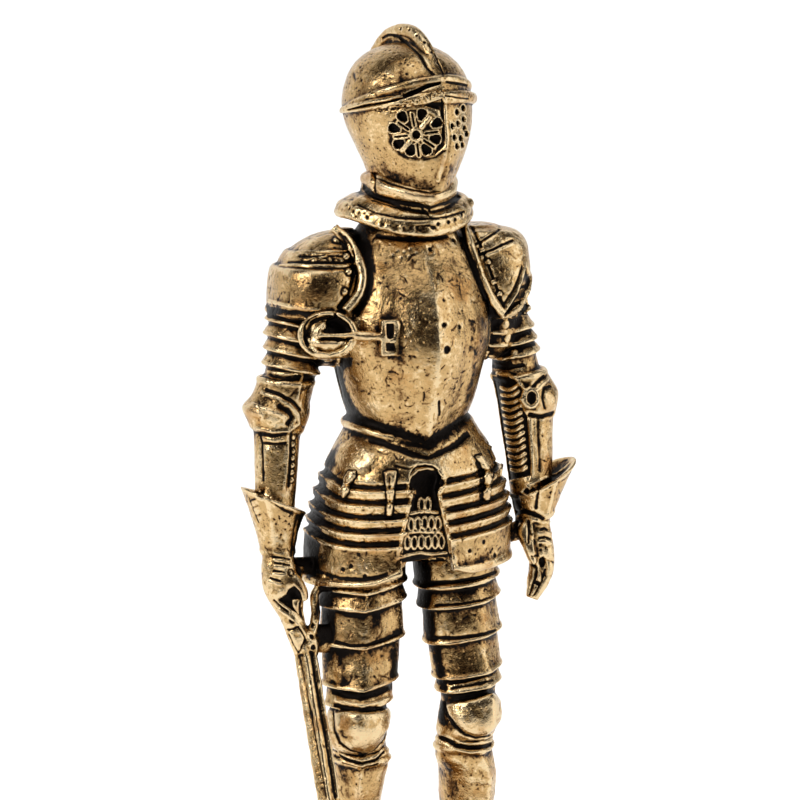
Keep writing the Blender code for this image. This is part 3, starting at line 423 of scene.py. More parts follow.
def leg(side):
    """One leg: cuisse plates, knee cap, greave and sabaton."""
    low = KNEE_ROWS[0][0]
    bands = lames(67.5, BAND_EDGES[side], low + 4.0, 0.5, BAND_DROP[side])
    shells = [loft(THIGHS[side], bands, 110)]
    rise = KNEE_RISE[side]
    knee = [(low + rise + up, out, drop) for up, out, drop in (
        (0.0, -0.7, 0.0), (0.35, -0.1, 0.3), (1.0, 0.0, 0.6), (2.4, 0.0, 0.5), (4.0, 0.0, 0.3),
        (5.4, 0.0, -0.2), (6.2, 0.0, -0.7), (6.6, -0.15, -0.8), (6.9, -0.9, -0.8))]
    shells.append(loft(KNEES[side], knee, 110))
    calf, strap = {-1: (0.0, -0.6), 1: (0.45, -0.2)}[side]
    shin = [(z, out, 0.0) for z, out in ((3.0, 0.0), (7.0, 0.0), (7.3, 0.35), (7.8, 0.5), (8.3, 0.3),
                                         (8.6, 0.0), (13.0, 0.0), (20.0, calf * 0.2), (25.0, calf),
                                         (28.5, calf))]
    shin += [(low + rise + up, out + strap, drop) for up, out, drop in (
        (-2.4, 0.0, 0.2), (-1.9, 0.25, 0.6), (-1.6, 0.5, 0.7), (-1.2, 0.45, 0.7), (-0.9, 0.05, 0.7),
        (-0.5, 0.2, 0.6), (-0.2, 0.3, 0.6), (0.2, -0.1, 0.6), (3.0, 0.0, 0.0))]
    shells.append(loft(SHINS[side], shin, 110))
    shells.append(foot(side))
    return shells


def foot(side):
    """One sabaton: arched sections along the foot, lapped plates, flat below, the toe broad and rounded."""
    turn = math.radians(side * LEG_YAW)
    ahead = np.array([math.sin(turn), -math.cos(turn), 0.0])
    across = np.array([math.cos(turn), math.sin(turn), 0.0])
    ankle = np.array([*ANKLES[side], 0.0])
    rows = smooth_rows(FOOT_ROWS)
    reach = np.linspace(rows[0, 0], rows[-1, 0], 90)
    half, height = (np.interp(reach, rows[:, 0], rows[:, k]) for k in (1, 2))
    laps = np.array([2.5, 4.8, 7.1, 9.3, 11.4, 13.4, 15.2])
    a = math.pi * np.arange(41) / 40
    rings = []
    for r, w, h in zip(reach, half, height):
        gone = r - laps[laps <= r]
        lift = LAP * math.exp(-gone[-1] / 0.9) if len(gone) else 0.0
        rise = np.maximum(0.0, np.sin(a)) ** 0.8 * (h + lift)
        rise[[0, -1]] = -JOINT_GAP
        ring = ankle + ahead * r + np.outer((w + lift) * np.cos(a), across)
        rings.append(ring + np.outer(rise, (0, 0, 1)))
    return skin(rings)


def tilted_ring(centre, half, roll, count, out=0.0):
    """A round ring about a point, tipped sideways."""
    tip = math.tan(math.radians(roll))
    a = 2 * math.pi * np.arange(count) / count
    side, ahead = (half + out) * np.sin(a), (half + out) * np.cos(a)
    return np.stack([centre[0] + side, centre[1] - ahead, centre[2] + tip * side], axis=-1)


def cuff(side):
    """A gauntlet's flared cuff, hollow at its open top."""
    low, top = np.array(CUFFS[side][0]), np.array(CUFFS[side][1])
    outline = ((-0.08, -0.3), (0.0, 0.0), (0.04, 0.25), (0.1, 0.25), (0.14, 0.0), (0.3, -0.1), (0.5, -0.15),
               (0.7, -0.1), (0.9, 0.05), (0.97, 0.25), (1.0, 0.2), (1.01, -0.3), (1.0, -0.75), (0.72, -1.4))
    rings = []
    for (ta, oa), (tb, ob) in zip(outline, outline[1:]):
        for k in np.arange(8) / 8:
            x, y, z, half, roll = low + (top - low) * (ta + (tb - ta) * k)
            rings.append(tilted_ring((x, y, z), half, roll, 90, oa + (ob - oa) * k))
    return skin(rings)


def hand(side):
    """A gauntlet's hand: oval sections from the wrist to the finger tips, and the thumb."""
    rows = np.array(HANDS[side])
    shells = [sweep(curve(rows[:, :3], 60), spread(rows[:, 3], 60), spread(rows[:, 4], 60), VIEW_RIGHT,
                    40, 2.4)]
    if side > 0:
        thumb = [(20.2, -2.6, 69.4), (18.9, -3.2, 67.9), (19.7, -4.0, 65.0), (20.3, -4.2, 62.8)]
        shells.append(bar(thumb, [1.1, 1.2, 1.1, 1.0, 0.9, 0.6], 1.1, VIEW_RIGHT))
    else:
        thumb = [(-21.6, -4.3, 63.8), (-20.1, -5.4, 61.8), (-19.3, -5.7, 59.6)]
        shells.append(bar(thumb, [1.2, 1.2, 1.1, 1.0, 0.7], 1.1, VIEW_RIGHT))
        grip = [(-20.2, -3.2, 64.8), (-20.6, -3.9, 60.5), (-20.2, -4.5, 56.0), (-19.2, -4.6, 52.4)]
        shells.append(bar(grip, [1.7, 1.4, 1.0, 0.9, 0.9, 1.0, 1.1], 1.0, VIEW_RIGHT))
    return shells


def arm(side):
    """One arm: lames and rerebrace, elbow cap, forearm, cuff and hand."""
    edges = {-1: (102.6, 100.3, 98.0, 95.6), 1: (103.0, 100.4, 98.4, 96.4)}[side]
    low = UPPER_ARMS[side].rows[0, 0]
    shells = [loft(UPPER_ARMS[side], lames(111.0, edges, low, 0.5), 90)]
    rows = COUTERS[side].rows[:, 0]
    elbow = [(rows[0], -0.4, 0.0), (rows[0] + 0.3, 0.1, 0.0), (rows[0] + 0.8, 0.15, 0.0),
             (rows[0] + 1.3, 0.0, 0.0), (rows[-1] - 1.2, 0.0, 0.0), (rows[-1] - 0.8, 0.25, 0.0),
             (rows[-1] - 0.3, 0.25, 0.0), (rows[-1], -0.4, 0.0)]
    shells.append(loft(COUTERS[side], elbow, 90))
    rows = FOREARMS[side].rows[:, 0]
    shells.append(loft(FOREARMS[side], [(rows[0], 0.0, 0.0), (rows[-1], 0.0, 0.0)], 90))
    shells.append(cuff(side))
    return shells + hand(side)


def pauldron_edge(side, low):
    """The height of a pauldron's lower edge: the left one rises towards his side, like a shield's."""
    rise = {-1: 0.0, 1: 6.4}[side]
    return lambda angle: low + rise * max(0.0, side * math.sin(math.radians(angle))) ** 1.4


def shoulder(side):
    """A pauldron: two lames and the broad main plate, with a roll along its inner edge."""
    steps = {-1: (114.4, 112.0), 1: (117.2, 117.0)}[side]
    low = SHOULDERS[side].rows[0, 0] + {-1: 1.3, 1: 0.6}[side]
    edge = pauldron_edge(side, low)
    middle = {-1: 108.4, 1: 111.4}[side]
    stations = [(edge, -1.2, 0.0), (lambda a: edge(a) + 0.1, 0.2, 0.0), (lambda a: edge(a) + 0.4, 0.5, 0.0),
                (lambda a: edge(a) + 0.9, 0.4, 0.0), (lambda a: edge(a) + 1.3, 0.1, 0.0),
                (lambda a: 0.6 * edge(a) + 0.4 * middle + 0.6, 0.1, 0.0), (middle + 0.2, 0.1, 0.0),
                (steps[1] - 0.3, 0.2, 0.0), (steps[1], 0.05, 0.0), (steps[1] + 0.15, -0.6, 0.0),
                (steps[0] - 0.3, -0.35, 0.0), (steps[0], -0.5, 0.0), (steps[0] + 0.15, -1.0, 0.0),
                (steps[0] + 0.3, -0.9, 0.0), (117.8, -0.6, 0.0)]
    shells = [loft(SHOULDERS[side], stations, 130)]
    roll = {-1: [(-12.9, -2.4, 118.0), (-11.1, -5.0, 115.7), (-10.1, -6.9, 111.9), (-10.6, -7.7, 108.6),
                 (-13.2, -8.0, 105.6)],
            1: [(7.9, -4.2, 118.3), (8.4, -6.4, 115.0), (9.8, -7.6, 110.2), (11.6, -7.6, 106.6),
                (14.1, -6.6, 103.6)]}[side]
    shells.append(bar(roll, {-1: 0.8, 1: 0.6}[side], 0.8, (0.3, -1.0, 0.2), 60))
    return shells


def sword():
    """The sword: blade down to the plinth ahead of his right toes, guard, front quillon and casting web."""
    top, tip = np.array(BLADE_TOP), np.array(BLADE_TIP)
    t = np.linspace(0.0, 1.0, 120)
    path = top + np.outer(t, tip - top)
    widths = np.interp(t, (0.0, 0.5, 0.93, 1.0), (1.9, 1.9, 1.4, 0.7))
    depths = np.interp(t, (0.0, 0.5, 0.93, 1.0), (0.9, 0.85, 0.75, 0.5))
    shells = [sweep(path, widths, depths, VIEW_RIGHT, 20, 1.35)]
    rib = path[2:112] + np.array([-0.2, -0.8, 0.0])
    shells.append(sweep(rib, 0.42, 0.35, VIEW_RIGHT, 10))
    guard = [np.array(GUARD) + np.array(p) for p in ((-0.9, 0.0, 1.9), (0.0, 0.0, 0.0), (0.7, -0.1, -2.3))]
    shells.append(bar(guard, [1.0, 1.7, 0.9], [1.2, 1.6, 1.0], VIEW_RIGHT, 30, 24))
    hook = [(-17.8, -4.6, 53.6), (-17.0, -4.3, 57.0), (-17.1, -4.0, 59.7), (-16.2, -3.6, 60.9),
            (-14.2, -2.8, 60.9)]
    shells.append(bar(hook, 0.75, 0.8, (0.2, -1.0, 0.1), 40))
    shells.append(bar([(-18.2, -4.3, 53.2), (-16.1, -3.6, 52.9), (-14.0, -3.0, 52.6)], 1.0, 2.4,
                      (0.0, 1.0, 0.0)))
    return shells


def lance_rest():
    """The round guard plate before his right armpit, its arm and the bracket on the breastplate."""
    centre, end = np.array(BESAGEW), np.array(BRACKET)
    normal = np.array([-0.30, -0.94, 0.12])
    normal /= np.linalg.norm(normal)
    high = np.array([0.0, 0.0, 1.0])
    wide = np.cross(normal, high)
    wide /= np.linalg.norm(wide)
    dish = np.array([(3.6, -2.2), (4.5, -0.7), (4.75, 0.1), (4.6, 0.6), (4.2, 0.75), (3.85, 0.5), (3.6, 0.0),
                     (3.2, -0.3), (2.6, -0.2), (2.2, 0.3), (1.6, 0.6), (0.6, 0.7)])
    a = 2 * math.pi * np.arange(72) / 72
    rings = [centre + normal * ahead + radius * (np.outer(np.cos(a), wide) + 0.82 * np.outer(np.sin(a), high))
             for radius, ahead in dish]
    shells = [skin(rings)]
    bar_path = [centre + (-1.5, -0.6, 0.3), centre + (3.7, -1.6, 0.0), end + (0.0, -0.6, 0.1)]
    shells.append(bar(bar_path, [0.6, 0.55, 0.5, 0.75, 0.75, 0.5], [0.6, 0.55, 0.5, 0.8, 0.8, 0.5], high, 40))
    plate = [end + (0.0, 0.9, 0.0), end + (0.0, 0.0, 0.0), end + (0.0, -0.8, 0.0)]
    shells.append(sweep(np.array(plate), 1.5, 2.9, (1.0, -0.3, 0.0), 40, 10.0))
    return shells


def webs():
    """The metal left in the mould between his wrists and the skirt."""
    shells = [bar([(-21.5, -2.2, 64.6), (-18.5, -1.7, 64.4), (-15.5, -1.2, 64.2)], 1.2, 1.5, (0.0, 1.0, 0.0))]
    shells.append(bar([(20.8, -1.4, 68.4), (18.0, -1.0, 67.6), (15.0, -0.6, 67.0)], 1.0, 1.6,
                      (0.0, 1.0, 0.0)))
    return shells


def body_shells():
    """Every shell of the casting below the helmet, the opened skirt first."""
    shells = [cut(skirt(), keyhole())] + torso() + collar()
    for side in (-1, 1):
        shells += leg(side) + arm(side) + shoulder(side)
    return shells + sword() + lance_rest() + webs()


def to_object(name, points, quads, triangles, scale=1.0):
    """A mesh object from arrays."""
    mesh = bpy.data.meshes.new(name)
    loops = np.concatenate([np.asarray(quads).ravel(), np.asarray(triangles).ravel()]).astype(np.int32)
    counts = np.concatenate([np.full(len(quads), 4), np.full(len(triangles), 3)]).astype(np.int32)
    mesh.vertices.add(len(points))
    mesh.vertices.foreach_set("co", np.asarray(points * scale, np.float32).ravel())
    mesh.loops.add(len(loops))
    mesh.loops.foreach_set("vertex_index", loops)
    mesh.polygons.add(len(counts))
    mesh.polygons.foreach_set("loop_start", (np.cumsum(counts) - counts).astype(np.int32))
    mesh.update(calc_edges=True)
    mesh.validate()
    thing = bpy.data.objects.new(name, mesh)
    bpy.context.scene.collection.objects.link(thing)
    return thing


def outward(shell):
    """The shell with its faces turned out."""
    points, quads, triangles = shell
    faces = np.vstack([triangles, quads[:, [0, 1, 2]], quads[:, [0, 2, 3]]]) if len(quads) else triangles
    a, b, c = (points[faces[:, k]] for k in range(3))
    volume = np.einsum("ij,ij->i", a, np.cross(b, c)).sum()
    return shell if volume > 0 else (points, quads[:, ::-1], triangles[:, ::-1])


def baked(thing):
    """The object's mesh with its modifiers applied; the object itself goes."""
    graph = bpy.context.evaluated_depsgraph_get()
    mesh = bpy.data.meshes.new_from_object(thing.evaluated_get(graph), depsgraph=graph)
    bpy.data.objects.remove(thing, do_unlink=True)
    return mesh


def triangles_of(mesh):
    """A mesh's points and triangles, as arrays."""
    points = np.empty(len(mesh.vertices) * 3, np.float32)
    mesh.vertices.foreach_get("co", points)
    mesh.calc_loop_triangles()
    faces = np.empty(len(mesh.loop_triangles) * 3, np.int32)
    mesh.loop_triangles.foreach_get("vertices", faces)
    return points.reshape(-1, 3).astype(float), faces.reshape(-1, 3)


def cut(shell, cutter):
    """One shell with another taken out of it."""
    thing = to_object("plate", *outward(shell))
    tool = to_object("tool", *outward(cutter))
    change = thing.modifiers.new("cut", "BOOLEAN")
    change.operation = "DIFFERENCE"
    change.object = tool
    mesh = baked(thing)
    bpy.data.objects.remove(tool, do_unlink=True)
    points, faces = triangles_of(mesh)
    bpy.data.meshes.remove(mesh)
    return points, np.empty((0, 4), int), faces


def fuse(shells, voxel):
    """All shells as one skin of even little faces."""
    points, quads, triangles, start = [], [], [], 0
    for shell in shells:
        p, q, t = outward(shell)
        points.append(p)
        quads.append(np.asarray(q).reshape(-1, 4) + start)
        triangles.append(np.asarray(t).reshape(-1, 3) + start)
        start += len(p)
    thing = to_object("casting", np.vstack(points), np.vstack(quads), np.vstack(triangles))
    change = thing.modifiers.new("fuse", "REMESH")
    change.mode = "VOXEL"
    change.voxel_size = voxel
    return baked(thing)


def view_axes():
    """The camera's back, right and up directions, and its place, in the figure's frame."""
    a, e = math.radians(VIEW_AZIMUTH), math.radians(VIEW_ELEVATION)
    back = np.array([math.sin(a) * math.cos(e), -math.cos(a) * math.cos(e), math.sin(e)])
    right = np.array([math.cos(a), math.sin(a), 0.0])
    return back, right, np.cross(back, right), np.array(VIEW_TARGET) + back * VIEW_DISTANCE


class Clay:
    """The casting's skin, worked point by point: pushed in, raised and darkened."""

    def __init__(self, mesh):
        self.mesh = mesh
        count = len(mesh.vertices)
        self.co = np.empty(count * 3, np.float32)
        mesh.vertices.foreach_get("co", self.co)
        self.co = self.co.reshape(-1, 3).astype(float)
        self.edges = np.empty(len(mesh.edges) * 2, np.int32)
        mesh.edges.foreach_get("vertices", self.edges)
        self.edges = self.edges.reshape(-1, 2)
        self.degree = np.maximum(1, np.bincount(self.edges.ravel(), minlength=count))
        self.co = self.smoothed(self.co, 2, 0.5)
        self.normal = self.normals()
        self.soft = self.unit(self.smoothed(self.normal, 6))
        self.ink = np.zeros(count)
        self.shown = None
        mesh.vertices.foreach_set("co", self.co.astype(np.float32).ravel())
        mesh.update()
        self.thing = bpy.data.objects.new("clay", mesh)
        bpy.context.scene.collection.objects.link(self.thing)
        bpy.context.view_layer.update()
        self.tree = KDTree(count)
        for i, p in enumerate(self.co):
            self.tree.insert(p, i)
        self.tree.balance()

    @staticmethod
    def unit(vectors):
        return vectors / np.maximum(1e-9, np.linalg.norm(vectors, axis=1))[:, None]

    def smoothed(self, values, rounds, share=1.0):
        """Each point's values averaged with its neighbours', so many times."""
        a, b = self.edges[:, 0], self.edges[:, 1]
        values = np.array(values, float).reshape(len(self.degree), -1)
        for _ in range(rounds):
            total = np.empty_like(values)
            for k in range(values.shape[1]):
                total[:, k] = (np.bincount(a, values[b, k], len(values))
                               + np.bincount(b, values[a, k], len(values))) / self.degree
            values = values + (total - values) * share
        return values

    def normals(self):
        """The skin's outward directions at its present shape."""
        self.mesh.vertices.foreach_set("co", self.co.astype(np.float32).ravel())
        self.mesh.update()
        out = np.empty(len(self.co) * 3, np.float32)
        self.mesh.vertex_normals.foreach_get("vector", out)
        return out.reshape(-1, 3).astype(float)

    def pick(self, px, py):
        """Where a pixel of the photograph meets the skin, and the skin's direction there."""
        back, right, up, eye = view_axes()
        ray = -back * FOCAL_PIXELS + right * (px - FRAME_SIZE / 2) - up * (py - FRAME_SIZE / 2)
        hit, where, normal, _ = self.thing.ray_cast(Vector(eye), Vector(ray).normalized())
        return (np.array(where), np.array(normal)) if hit else None

    def trace(self, pixels, step=0.6):
        """A line on the skin through pixels of the photograph, but not where it falls on something behind."""
        found = []
        for (xa, ya), (xb, yb) in zip(pixels, pixels[1:]):
            parts = max(1, int(math.hypot(xb - xa, yb - ya) / step))
            for t in np.arange(parts) / parts:
                found.append(self.pick(xa + (xb - xa) * t, ya + (yb - ya) * t))
        found.append(self.pick(*pixels[-1]))
        found = [f for f in found if f]
        near = [any(np.linalg.norm(f[0] - g[0]) < JUMP for g in found[max(0, i - 1):i] + found[i + 1:i + 2])
                for i, f in enumerate(found)]
        return [f for f, keep in zip(found, near) if keep]

    def touch(self, spots, width, height, ink=0.0, bold=2.0):
        """Raise the skin near the spots, or push it in, over a width; ink darkens it."""
        near = {}
        for where, normal in spots:
            for _, i, d in self.tree.find_range(where, width):
                if d < near.get(i, width) and self.soft[i] @ normal > 0.1:
                    near[i] = d
        if not near:
            return
        index = np.fromiter(near.keys(), int, len(near))
        fall = (1 - (np.fromiter(near.values(), float, len(near)) / width) ** 2) ** bold
        self.co[index] += self.soft[index] * (height * fall)[:, None]
        self.stain(index, ink, fall)

    def stain(self, index, ink, share):
        """Darken points by an amount, or clear them where it is negative."""
        if ink > 0:
            self.ink[index] = np.maximum(self.ink[index], ink * share)
        elif ink < 0:
            self.ink[index] += (ink - self.ink[index]) * share

    def line(self, pixels, width, height, ink=0.0, bold=2.0):
        """A groove or a ridge along pixels of the photograph."""
        self.touch(self.trace(pixels), width, height, ink, bold)

    def lines(self, table):
        """Grooves and ridges from a table of width, height, ink and pixels."""
        for width, height, ink, pixels in table.values():
            self.line(pixels, width, height, ink)

    def along(self, points, width, height, ink=0.0, bold=2.0):
        """A groove or a ridge along points in the figure's frame, laid on the skin nearest to them."""
        spots = []
        for point in points:
            _, i, _ = self.tree.find(point)
            spots.append((self.co[i].copy(), self.soft[i]))
        self.touch(spots, width, height, ink, bold)

    def dots(self, pixels, width, height, ink=0.0, bold=0.6):
        """Round heads or holes at pixels of the photograph."""
        for spot in pixels:
            self.touch([f for f in [self.pick(*spot)] if f], width, height, ink, bold)

    def rivets(self, pixels, radius=0.5, height=0.28):
        """Domed heads with a dark ring round each."""
        self.dots(pixels, radius * 1.9, -0.14, 0.8, 1.0)
        self.dots(pixels, radius, height + 0.14, -0.4, 0.5)

    def seen(self):
        """Each point's pixel in the photograph, and whether the photograph shows it."""
        back, right, up, eye = view_axes()
        away = self.co - eye
        depth = -(away @ back)
        pixels = np.stack([FRAME_SIZE / 2 + FOCAL_PIXELS * (away @ right) / depth,
                           FRAME_SIZE / 2 - FOCAL_PIXELS * (away @ up) / depth], axis=-1)
        cell = np.clip((pixels / DEPTH_CELL).astype(int), 0, DEPTH_CELLS - 1)
        cell = cell[:, 0] * DEPTH_CELLS + cell[:, 1]
        nearest = np.full(DEPTH_CELLS ** 2, np.inf)
        np.minimum.at(nearest, cell, depth)
        return pixels, (depth < nearest[cell] + JUMP) & (self.soft @ back > 0.08)

    def patch(self, outline, height, ink=0.0, edge=1.2, grow=0.0, rough=0.0, size=0.5, bold=1.0):
        """Sink, raise or darken the area inside an outline of the photograph's pixels, eased at its edge."""
        outline = np.array(outline, float)
        if self.shown is None:
            self.shown = self.seen()
        pixels, shown = self.shown
        margin = edge + grow
        inside = shown & (pixels > outline.min(axis=0) - margin).all(axis=1)
        index = np.flatnonzero(inside & (pixels < outline.max(axis=0) + margin).all(axis=1))
        if not len(index):
            return
        share = np.clip((depth_inside(outline, pixels[index]) + grow) / edge + 0.5, 0.0, 1.0)
        share = (share * share * (3 - 2 * share)) ** bold
        lift = height * share
        if rough:
            lift = lift + rough * share * lattice_noise(self.co[index] / size, 7)
        self.co[index] += self.soft[index] * lift[:, None]
        self.stain(index, ink, share)

    def waves(self, size, height, seed):
        """A gentle unevenness all over, of a size and a height."""
        self.co += self.soft * (height * lattice_noise(self.co / size, seed))[:, None]

    def pits(self, count, radii, depths, ink, seed):
        """Scattered casting pits."""
        random = np.random.default_rng(seed)
        for i in random.integers(0, len(self.co), count):
            size, depth = random.uniform(*radii), random.uniform(*depths)
            self.touch([(self.co[i], self.soft[i])], size, -depth, ink * random.uniform(0.3, 1.0), 1.2)

    def scratches(self, count, reach, width, depth, ink, seed):
        """Short curled scratches, scattered over the skin."""
        random = np.random.default_rng(seed)
        for i in random.integers(0, len(self.co), count):
            normal = self.soft[i]
            way = np.cross(normal, random.normal(size=3))
            way /= max(1e-9, np.linalg.norm(way))
            bend = np.cross(normal, way) * random.uniform(-0.5, 0.5)
            length = random.uniform(*reach)
            spots = [(self.co[i] + way * t * length + bend * (t * t) * length, normal)
                     for t in np.linspace(-1, 1, 9)]
            self.touch(spots, width, -depth * random.uniform(0.4, 1.0), ink * random.uniform(0.2, 1.0), 1.5)

    def hollows(self):
        """How far each point lies below its surroundings, at a fine and a broad scale."""
        normal = self.normals()
        fine = self.smoothed(self.co, 6)
        broad = self.smoothed(fine, 44)
        return (np.einsum("ij,ij->i", fine - self.co, normal), np.einsum("ij,ij->i", broad - self.co, normal))

    def cast(self, name, faces):
        """The finished skin, with its hollows stored for the patina."""
        fine, broad = self.hollows()
        self.normals()
        bpy.data.objects.remove(self.thing, do_unlink=True)
        for title, values in (("fine", fine), ("broad", broad), ("ink", self.ink)):
            layer = self.mesh.attributes.new(title, "FLOAT", "POINT")
            layer.data.foreach_set("value", values.astype(np.float32))
        thing = bpy.data.objects.new(name, self.mesh)
        bpy.context.scene.collection.objects.link(thing)
        if len(self.mesh.polygons) * 2 > faces:
            change = thing.modifiers.new("thin", "DECIMATE")
            change.ratio = faces / (len(self.mesh.polygons) * 2)
        return baked(thing)


def depth_inside(outline, pixels):
    """How far each pixel lies inside a closed outline, negative outside."""
    best = np.full(len(pixels), np.inf)
    inside = np.zeros(len(pixels), bool)
    for a, b in zip(outline, np.roll(outline, -1, axis=0)):
        side = b - a
        t = np.clip(((pixels - a) @ side) / max(1e-9, side @ side), 0.0, 1.0)
        best = np.minimum(best, np.linalg.norm(pixels - a - t[:, None] * side, axis=1))
        if a[1] != b[1]:
            across = (a[1] > pixels[:, 1]) != (b[1] > pixels[:, 1])
            inside ^= across & (pixels[:, 0] < a[0] + (pixels[:, 1] - a[1]) * side[0] / side[1])
    return np.where(inside, best, -best)


def oval(centre, wide, tall, count=20):
    """An oval outline in the photograph's pixels."""
    a = 2 * math.pi * np.arange(count) / count
    return np.stack([centre[0] + wide * np.cos(a), centre[1] + tall * np.sin(a)], axis=-1)


def lattice_noise(points, seed):
    """Smooth random values from -1 to 1 over space."""
    random = np.random.default_rng(seed)
    table = random.uniform(-1, 1, 4096)
    cell = np.floor(points).astype(np.int64)
    t = points - cell
    t = t * t * (3 - 2 * t)
    total = np.zeros(len(points))
    for dx in (0, 1):
        for dy in (0, 1):
            for dz in (0, 1):
                key = ((cell[:, 0] + dx) * 73856093 ^ (cell[:, 1] + dy) * 19349663
                       ^ (cell[:, 2] + dz) * 83492791)
                weight = np.abs(1 - dx - t[:, 0]) * np.abs(1 - dy - t[:, 1]) * np.abs(1 - dz - t[:, 2])
                total += table[(key ^ (key >> 13)) % 4096] * weight
    return total


# Where the helmet's relief lies, in the photograph's pixels.
# A line has its width and height in mm and its ink before its pixels.
SLIT = ((346.8, 109.8), (365, 104), (386, 101), (408.6, 92.2), (428.2, 84.2), (441, 82.2), (441, 83.8),
        (428.2, 87.6), (414, 94.4), (397.3, 100.6), (376.3, 106), (348.2, 110.8))
SHELF = ((376, 108.2), (400, 104.0), (428, 94.0), (443.5, 88.0), (444.5, 93.5), (420, 104.5),
         (400, 109.5), (378, 112.4))
PANEL = ((424, 105.5), (442.5, 98.5), (444.4, 120), (445.3, 146), (434, 156), (441, 141), (443, 127),
         (440, 110))
HUB = (416.1, 134.9)
PETALS = ((421.9, 114.3), (437.3, 123.0), (435.9, 139.3), (426.1, 149.8), (410.7, 150.5), (398.5, 144.2),
          (393.9, 128.7), (402.4, 116.9))
PETAL = ((-6.0, 1.5), (-1.7, 3.8), (2.4, 4.9), (4.9, 3.0), (5.4, 0.0), (4.9, -3.0), (2.4, -4.9), (-1.7, -3.8),
         (-6.0, -1.5))
ROD_GAPS = (0, 4)
SLOT_REACH = (9.5, 21.5)
CHEEK_HOLES = ((457, 112), (463, 108), (463.5, 119), (452.5, 126), (458, 123.6), (464.4, 128.4),
               (454.4, 137.5), (460.6, 138), (466.4, 133.7), (457, 146), (462, 145))
HELMET_LINES = {
    "groove beside the comb": (0.4, -0.3, 0.9, ((382, 38), (388, 35.2), (397.3, 36), (408.6, 44.5),
                                                (419.8, 55), (427, 67), (433.8, 74.5))),
    "comb's other side": (0.35, -0.15, 0.7, ((429, 44), (434.5, 54), (440, 66), (443.7, 75))),
    "bowl's edge, left side": (0.28, -0.16, 0.8, ((446.5, 82), (456, 83.5), (467.5, 85.5))),
    "brow band, left side": (0.26, -0.12, 0.7, ((445.5, 95.5), (456, 97.5), (468.5, 98.8))),
    "keel": (0.5, 0.16, -0.3, ((444.8, 99), (445.3, 118), (446.8, 140), (444.5, 158), (438, 180))),
    "crease beside the keel": (0.32, -0.14, 0.7, ((442.8, 99), (443.3, 118), (444.4, 140))),
    "panel's lower edge": (0.3, -0.1, 0.5, ((445, 150), (436, 157), (424, 160))),
    "dent": (0.6, -0.1, 0.3, ((400, 72), (401, 80))),
    "dent at the side": (0.5, -0.1, 0.35, ((353, 73), (355, 80))),
    "dent over the brow": (0.4, -0.1, 0.4, ((372, 92), (376, 95))),
}
# Painted shade along the underside of the helmet's jaw, above the neck plates
JAW_UNDERSIDE_SHADE = ((370, 166), (376, 174), (392, 181), (412, 187), (430, 190), (446, 183), (454, 172), (452, 162),
            (444, 172), (430, 179), (412, 175), (392, 169), (378, 162))
# A small spot on the bowl, sunk a little and darkened
BOWL_DARK_SPOT = ((395, 72), (404, 68), (412, 76), (408, 86), (397, 84))
COMB_NICKS = ((424.7, 42.4), (409.3, 29.6), (400.5, 28.5), (416.5, 35.5), (432.0, 52.0), (437.5, 63.0))


def petal(centre):
    """A rosette opening's outline: a teardrop that points at the hub."""
    out = np.array(centre) - np.array(HUB)
    out /= np.linalg.norm(out)
    return [np.array(centre) + out * reach + np.array([-out[1], out[0]]) * side for reach, side in PETAL]


def carve_rosette(clay):
    """The pierced rosette in the visor: eight openings, paired bars with slots, and the hub."""
    clay.patch(oval(HUB, 28.5, 25.5), -0.16, 0.42, 3.0)
    for centre in PETALS:
        clay.patch(petal(centre), 0.2, -0.4, 1.4, 1.2)
    angles = [math.atan2(y - HUB[1], x - HUB[0]) for x, y in PETALS]
    for k, (a, b) in enumerate(zip(angles, angles[1:] + angles[:1])):
        middle = a + ((b - a) % (2 * math.pi)) / 2
        ends = [(HUB[0] + r * math.cos(middle), HUB[1] + r * math.sin(middle)) for r in SLOT_REACH]
        clay.line(ends, 0.55, 0.3, -0.6)
        if k not in ROD_GAPS:
            clay.line(ends, 0.27, -0.55, 1.0)
    clay.patch(oval(HUB, 7.2, 7.0), 0.2, -0.5, 1.6)
    clay.patch(oval(HUB, 3.7, 4.2), -0.9, 1.0, 1.2)
    for centre in PETALS:
        clay.patch(petal(centre), -0.95, 1.0, 1.2)


def carve_head(clay):
    """The helmet's finer relief, with painted shade under the jaw."""
    clay.waves(3.2, 0.05, 1)
    clay.waves(1.1, 0.035, 2)
    clay.patch(SHELF, 0.0, -0.2, 1.2, rough=0.22, size=0.33)
    clay.patch(SLIT, -0.8, 1.0, 1.2)
    clay.patch(PANEL, -0.25, 0.3, 1.6)
    # Painted shade under the jaw
    clay.patch(JAW_UNDERSIDE_SHADE, 0.0, 0.3, 5.0)
    clay.patch(BOWL_DARK_SPOT, -0.04, 0.25, 5.0)
    carve_rosette(clay)
    for x, y in CHEEK_HOLES:
        clay.patch(oval((x, y), 3.4, 4.2), 0.1, -0.2, 1.4)
        clay.patch(oval((x, y), 2.0, 3.0, 12), -0.8, 1.0, 1.0)
    clay.lines(HELMET_LINES)
    clay.dots(COMB_NICKS, 0.3, -0.22, 0.9)
    clay.pits(700, (0.14, 0.32), (0.03, 0.1), 0.5, 3)


